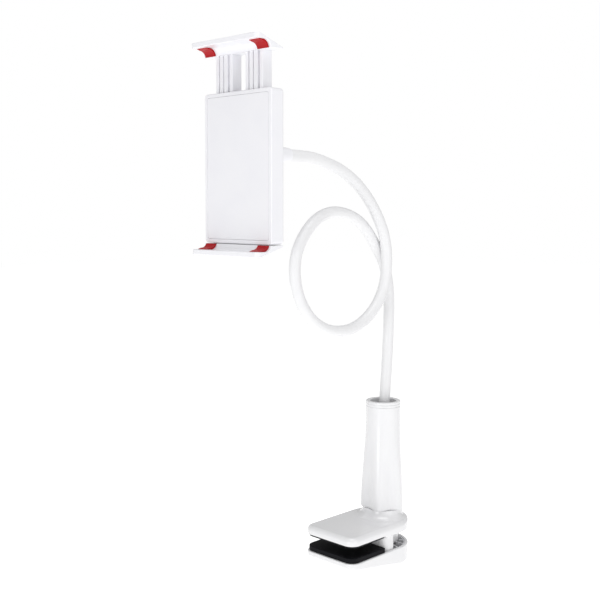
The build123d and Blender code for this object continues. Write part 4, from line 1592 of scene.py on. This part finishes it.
    def jaws(self) -> None:
        """Both gripping jaws with their red pads. The lips' front corners are rounded in plan."""
        for node, body in (("top_jaw", Body.SLIDER), ("bottom_jaw", Body.CLIP)):
            low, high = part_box(node)
            at = self.seat(node)
            inner = self.lip_inner(node)
            lip = self.lip / MM
            corners = [
                (*at(-12.6, 0), 0.3 * MM), (*at(-12.6, 1.3), 0.5 * MM),
                (*at(15, inner + lip), 1.0 * MM), (*at(15, inner), 0.5 * MM),
            ]
            corners += sharp(self.cove(node))
            outline = wound(corners)
            edge, round_off = 0.5 * MM, self.lip_corner
            marks = [(edge * (1 - sine), edge * share) for share, sine in arc_steps(3)]
            marks += [(0.0, edge + (round_off - edge) * step / 8) for step in range(1, 9)]
            levels = [(inset, low.x + along) for inset, along in marks]
            levels += [(inset, high.x - along) for inset, along in reversed(marks)]
            rings = []
            for inset, x in levels:
                end = max(0.0, round_off - min(x - low.x, high.x - x))
                front = inset + low.y + round_off - math.sqrt(round_off**2 - end**2)
                rings.append([Vector((x, max(y, front), z)) for y, z in outline.points(inset)])
            piece = weight_normals(stack(f"{node}_bar", rings))
            place(piece, body, Slot.WHITE_CLIP, node)
            for side in ("left", "right"):
                self.pad(node, side, body)

    def pad(self, jaw: str, side: str, body: Body) -> None:
        """One red pad, lining the cove of a jaw.

        Args:
            jaw: The jaw's CAD node.
            side: left or right.
            body: The body that the jaw belongs to.
        """
        node = f"{jaw.split('_')[0]}_pad_{side}"
        low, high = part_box(node)
        at = self.seat(jaw)
        inner = self.lip_inner(jaw)
        corners = [(*at(self.pad_end, inner), 0.0)]
        corners += sharp(self.cove(jaw))
        corners += sharp(reversed(self.cove(jaw, self.pad_thickness)))
        corners.append((*at(self.pad_end, inner - 0.3), 0.1 * MM))
        piece = prism(f"{node}_rubber", wound(corners), low.x, high.x, 0.25 * MM, sideways, 2)
        place(piece, body, Slot.RED_RUBBER, node)

    def rails(self) -> None:
        """The two sliding rails, each with three grooves along its face and an open back."""
        for side in ("left", "right"):
            node = f"rail_{side}"
            low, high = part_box(node)
            wall, face, deep = 2.0 * MM, 3.2 * MM, self.groove_depth
            middle = (low.x + high.x) / 2
            corners = [(low.x, high.y, 0.3 * MM), (low.x, low.y, 0.8 * MM)]
            for offset, width in self.grooves:
                left = middle + (offset - width / 2) * MM
                right = middle + (offset + width / 2) * MM
                corners += [
                    (left, low.y, 0.25 * MM), (left, low.y + deep, 0.15 * MM),
                    (right, low.y + deep, 0.15 * MM), (right, low.y, 0.25 * MM),
                ]
            corners += [
                (high.x, low.y, 0.8 * MM), (high.x, high.y, 0.3 * MM),
                (high.x - wall, high.y, 0.2 * MM), (high.x - wall, low.y + face, 0.5 * MM),
                (low.x + wall, low.y + face, 0.5 * MM), (low.x + wall, high.y, 0.2 * MM),
            ]
            piece = prism(f"{node}_bar", wound(corners, 4), low.z, high.z, 0.1 * MM, upright, 2)
            place(piece, Body.SLIDER, Slot.WHITE_CLIP, node)

    def screws(self) -> None:
        """Countersunk cross-head screws, by Geometry Nodes: one head put on each screw's place."""
        low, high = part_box("cover_screws")
        shape = NodeShape("cover_screw_heads", Slot.STEEL)
        radius = shape.size("Head radius", 2.7 * MM)
        height = shape.size("Head height", 1.2 * MM)
        slot_width = shape.size("Slot width", 0.8 * MM)
        graph = shape.graph
        disc = graph.node(
            "GeometryNodeMeshCylinder", inputs={"Vertices": 40, "Radius": radius, "Depth": height}
        )
        bars = graph.node("GeometryNodeJoinGeometry")
        lift = graph.node("ShaderNodeCombineXYZ", inputs={2: height * 0.5})
        for width, length in ((radius * 1.2, slot_width), (slot_width, radius * 1.2)):
            size = graph.node("ShaderNodeCombineXYZ", inputs={0: width, 1: length, 2: height})
            bar = graph.node("GeometryNodeMeshCube", inputs={"Size": size.outputs[0]})
            lifted = graph.node(
                "GeometryNodeTransform",
                inputs={"Geometry": bar.outputs["Mesh"], "Translation": lift.outputs[0]},
            )
            graph.feed(bars.inputs[0], lifted.outputs[0])
        head = graph.node(
            "GeometryNodeMeshBoolean",
            {"operation": "DIFFERENCE"},
            {0: disc.outputs["Mesh"], 1: bars.outputs[0]},
        )
        spread = shape.on_points(head.outputs[0], -math.pi / 2)
        inset = 2.8 * MM
        middle = high.y - 0.75 * MM
        points = [
            Vector((x, middle, z))
            for x in (low.x + inset, high.x - inset)
            for z in (low.z + inset, high.z - inset)
        ]
        piece = shape.build(spread, point_carrier("cover_screw_heads", points))
        place(piece, Body.CLIP, Slot.STEEL)

    def build(self) -> None:
        """Builds every piece of the grip."""
        self.housing()
        self.cover()
        self.jaws()
        self.rails()
        self.screws()


def wound(corners: Sequence[Corner], steps: int = 5) -> Outline:
    """An outline whose corners may be listed either way round.

    Args:
        corners: x, y and radius of each corner.
        steps: Facets of each rounding.

    Returns:
        The outline, counter-clockwise.
    """
    pairs = zip(corners, [*corners[1:], corners[0]])
    area = sum(a[0] * b[1] - b[0] * a[1] for a, b in pairs) / 2
    return Outline(corners if area > 0 else list(reversed(corners)), steps)


def block(name: str, low: Vector, high: Vector) -> bpy.types.Object:
    """A plain box, used only to cut another piece.

    Args:
        name: Its name.
        low: Its lowest corner.
        high: Its highest corner.

    Returns:
        The box, hidden from the picture.
    """
    mesh_data = bmesh.new()
    bmesh.ops.create_cube(mesh_data, size=1.0)
    for vertex in mesh_data.verts:
        for axis in range(3):
            vertex.co[axis] = high[axis] if vertex.co[axis] > 0 else low[axis]
    cutter = add_mesh(name, mesh_data)
    cutter.hide_render = True
    return cutter


# ------------------------------------------------------------------------------------------ stage
@dataclass
class Studio:
    """Floor, light and camera.

    Args:
        lens: Focal length, in millimetres on a 36 mm sensor.
        tip: How far the camera looks down, in degrees.
        shift: Vertical shift of the picture.
        azimuth: The camera's direction round the object, in degrees from -Y towards +X.
        station: The camera's place.
        target: What the lamps point at.
        lamps: Name, place, size and power of each lamp.
        floor_gap: From the object's lowest point to the floor.
        floor_reach: Half of the floor's width.
    """

    lens: float = 58.06
    tip: float = 2.86
    shift: float = -0.0767
    azimuth: float = 45.0
    station: Corner = (0.5767, -0.6332, 0.2968)
    target: Corner = (0.0, -0.02, 0.2)
    lamps: tuple[tuple[str, Corner, float, float], ...] = (
        ("key", (1.8, -0.4, 0.45), 1.1, 4.4),
        ("fill", (0.3, -1.7, 0.08), 0.5, 3.7),
        ("top", (0.3, -0.3, 1.7), 1.0, 10.0),
    )
    floor_gap: float = 0.12
    floor_reach: float = 6.0

    def camera(self) -> None:
        """A camera at the object's front right, a little above its middle."""
        data = bpy.data.cameras.new("camera")
        data.lens = self.lens
        data.sensor_width = 36.0
        data.shift_y = self.shift
        data.clip_start = 0.01
        turn, tip = math.radians(self.azimuth), math.radians(self.tip)
        flat = math.cos(tip)
        ahead = Vector((-math.sin(turn) * flat, math.cos(turn) * flat, -math.sin(tip)))
        bpy.context.scene.camera = self.aimed("camera", data, self.station, ahead)

    def aimed(
        self, name: str, data: bpy.types.ID, where: Corner, ahead: Vector
    ) -> bpy.types.Object:
        """Adds a camera or a lamp.

        Args:
            name: Its name.
            data: Its data.
            where: Its place.
            ahead: The direction that it points in.

        Returns:
            The new object.
        """
        aimed = add_object(name, data)
        aimed.location = where
        aimed.rotation_mode = "QUATERNION"
        aimed.rotation_quaternion = ahead.to_track_quat("-Z", "Y")
        return aimed

    def lamp(self, name: str, where: Corner, size: float, power: float) -> None:
        """One soft square lamp that points at the target.

        Args:
            name: Its name.
            where: Its place.
            size: Width of its square, in metres.
            power: Its power, in watts.
        """
        data = bpy.data.lights.new(name, "AREA")
        data.shape = "SQUARE"
        data.size = size
        data.energy = power
        self.aimed(name, data, where, Vector(self.target) - Vector(where))

    def world(self) -> None:
        """A plain white surround: bright to look at, softer as a light."""
        world = bpy.data.worlds.new("surround")
        world.use_nodes = True
        bpy.context.scene.world = world
        graph = Graph(world.node_tree)
        seen = graph.signal("ShaderNodeLightPath", output="Is Camera Ray")
        background = graph.tree.nodes["Background"]
        background.inputs["Color"].default_value = (1.0, 1.0, 1.0, 1.0)
        strength = seen * 0.5 + 0.5
        graph.feed(background.inputs["Strength"], strength)

    def floor(self) -> None:
        """A plain pale floor well below the object."""
        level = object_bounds()[0].z - self.floor_gap
        reach = self.floor_reach
        spots = [(x * reach, y * reach, level) for x, y in ((-1, -1), (1, -1), (1, 1), (-1, 1))]
        mesh = bpy.data.meshes.new("floor")
        mesh.from_pydata(spots, [], [(0, 1, 2, 3)])
        floor = add_object("floor", mesh)
        material = bpy.data.materials.new("pale_floor")
        material.use_nodes = True
        graph = Graph(material.node_tree)
        looks = {
            "Base Color": (0.95, 0.95, 0.95, 1.0),
            "Roughness": 0.9,
            "Emission Color": (1.0, 1.0, 1.0, 1.0),
            "Emission Strength": 0.53,
        }
        for name, value in looks.items():
            graph.feed(graph.tree.nodes["Principled BSDF"].inputs[name], value)
        floor.data.materials.append(material)
        floor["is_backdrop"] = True

    def build(self) -> None:
        """Sets the stage."""
        self.camera()
        self.world()
        self.floor()
        for name, where, size, power in self.lamps:
            self.lamp(name, where, size, power)
        bpy.context.scene.view_settings.view_transform = "Standard"


def dress_frame(frame: dict) -> None:
    """Gives every CAD node the finish of its material slot.

    Args:
        frame: The loaded frame.
    """
    slots = {part["node"]: part["material_slot"] for part in frame["record"]["subparts"]}
    for name, node in frame["nodes"].items():
        dress(node, Slot(slots[name]))
        smooth(node)
        LOG.info("%s keeps its CAD shape in %s", name, slots[name])


def corners(bounds: tuple[Vector, Vector]) -> list[list[float]]:
    """A box as two plain lists of numbers."""
    return [list(corner) for corner in bounds]


def main() -> None:
    """Builds the whole scene round the frame."""
    logging.basicConfig(level=logging.INFO, format="%(message)s")
    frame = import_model()
    cad_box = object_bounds()
    for part in (Clamp(), Handle(), Arm(), BallJoint(), Grip()):
        part.build()
    dress_frame(frame)
    Studio().build()
    sizes = {"cad": corners(cad_box), "visual": corners(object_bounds())}


if __name__ == "__main__":
    main()
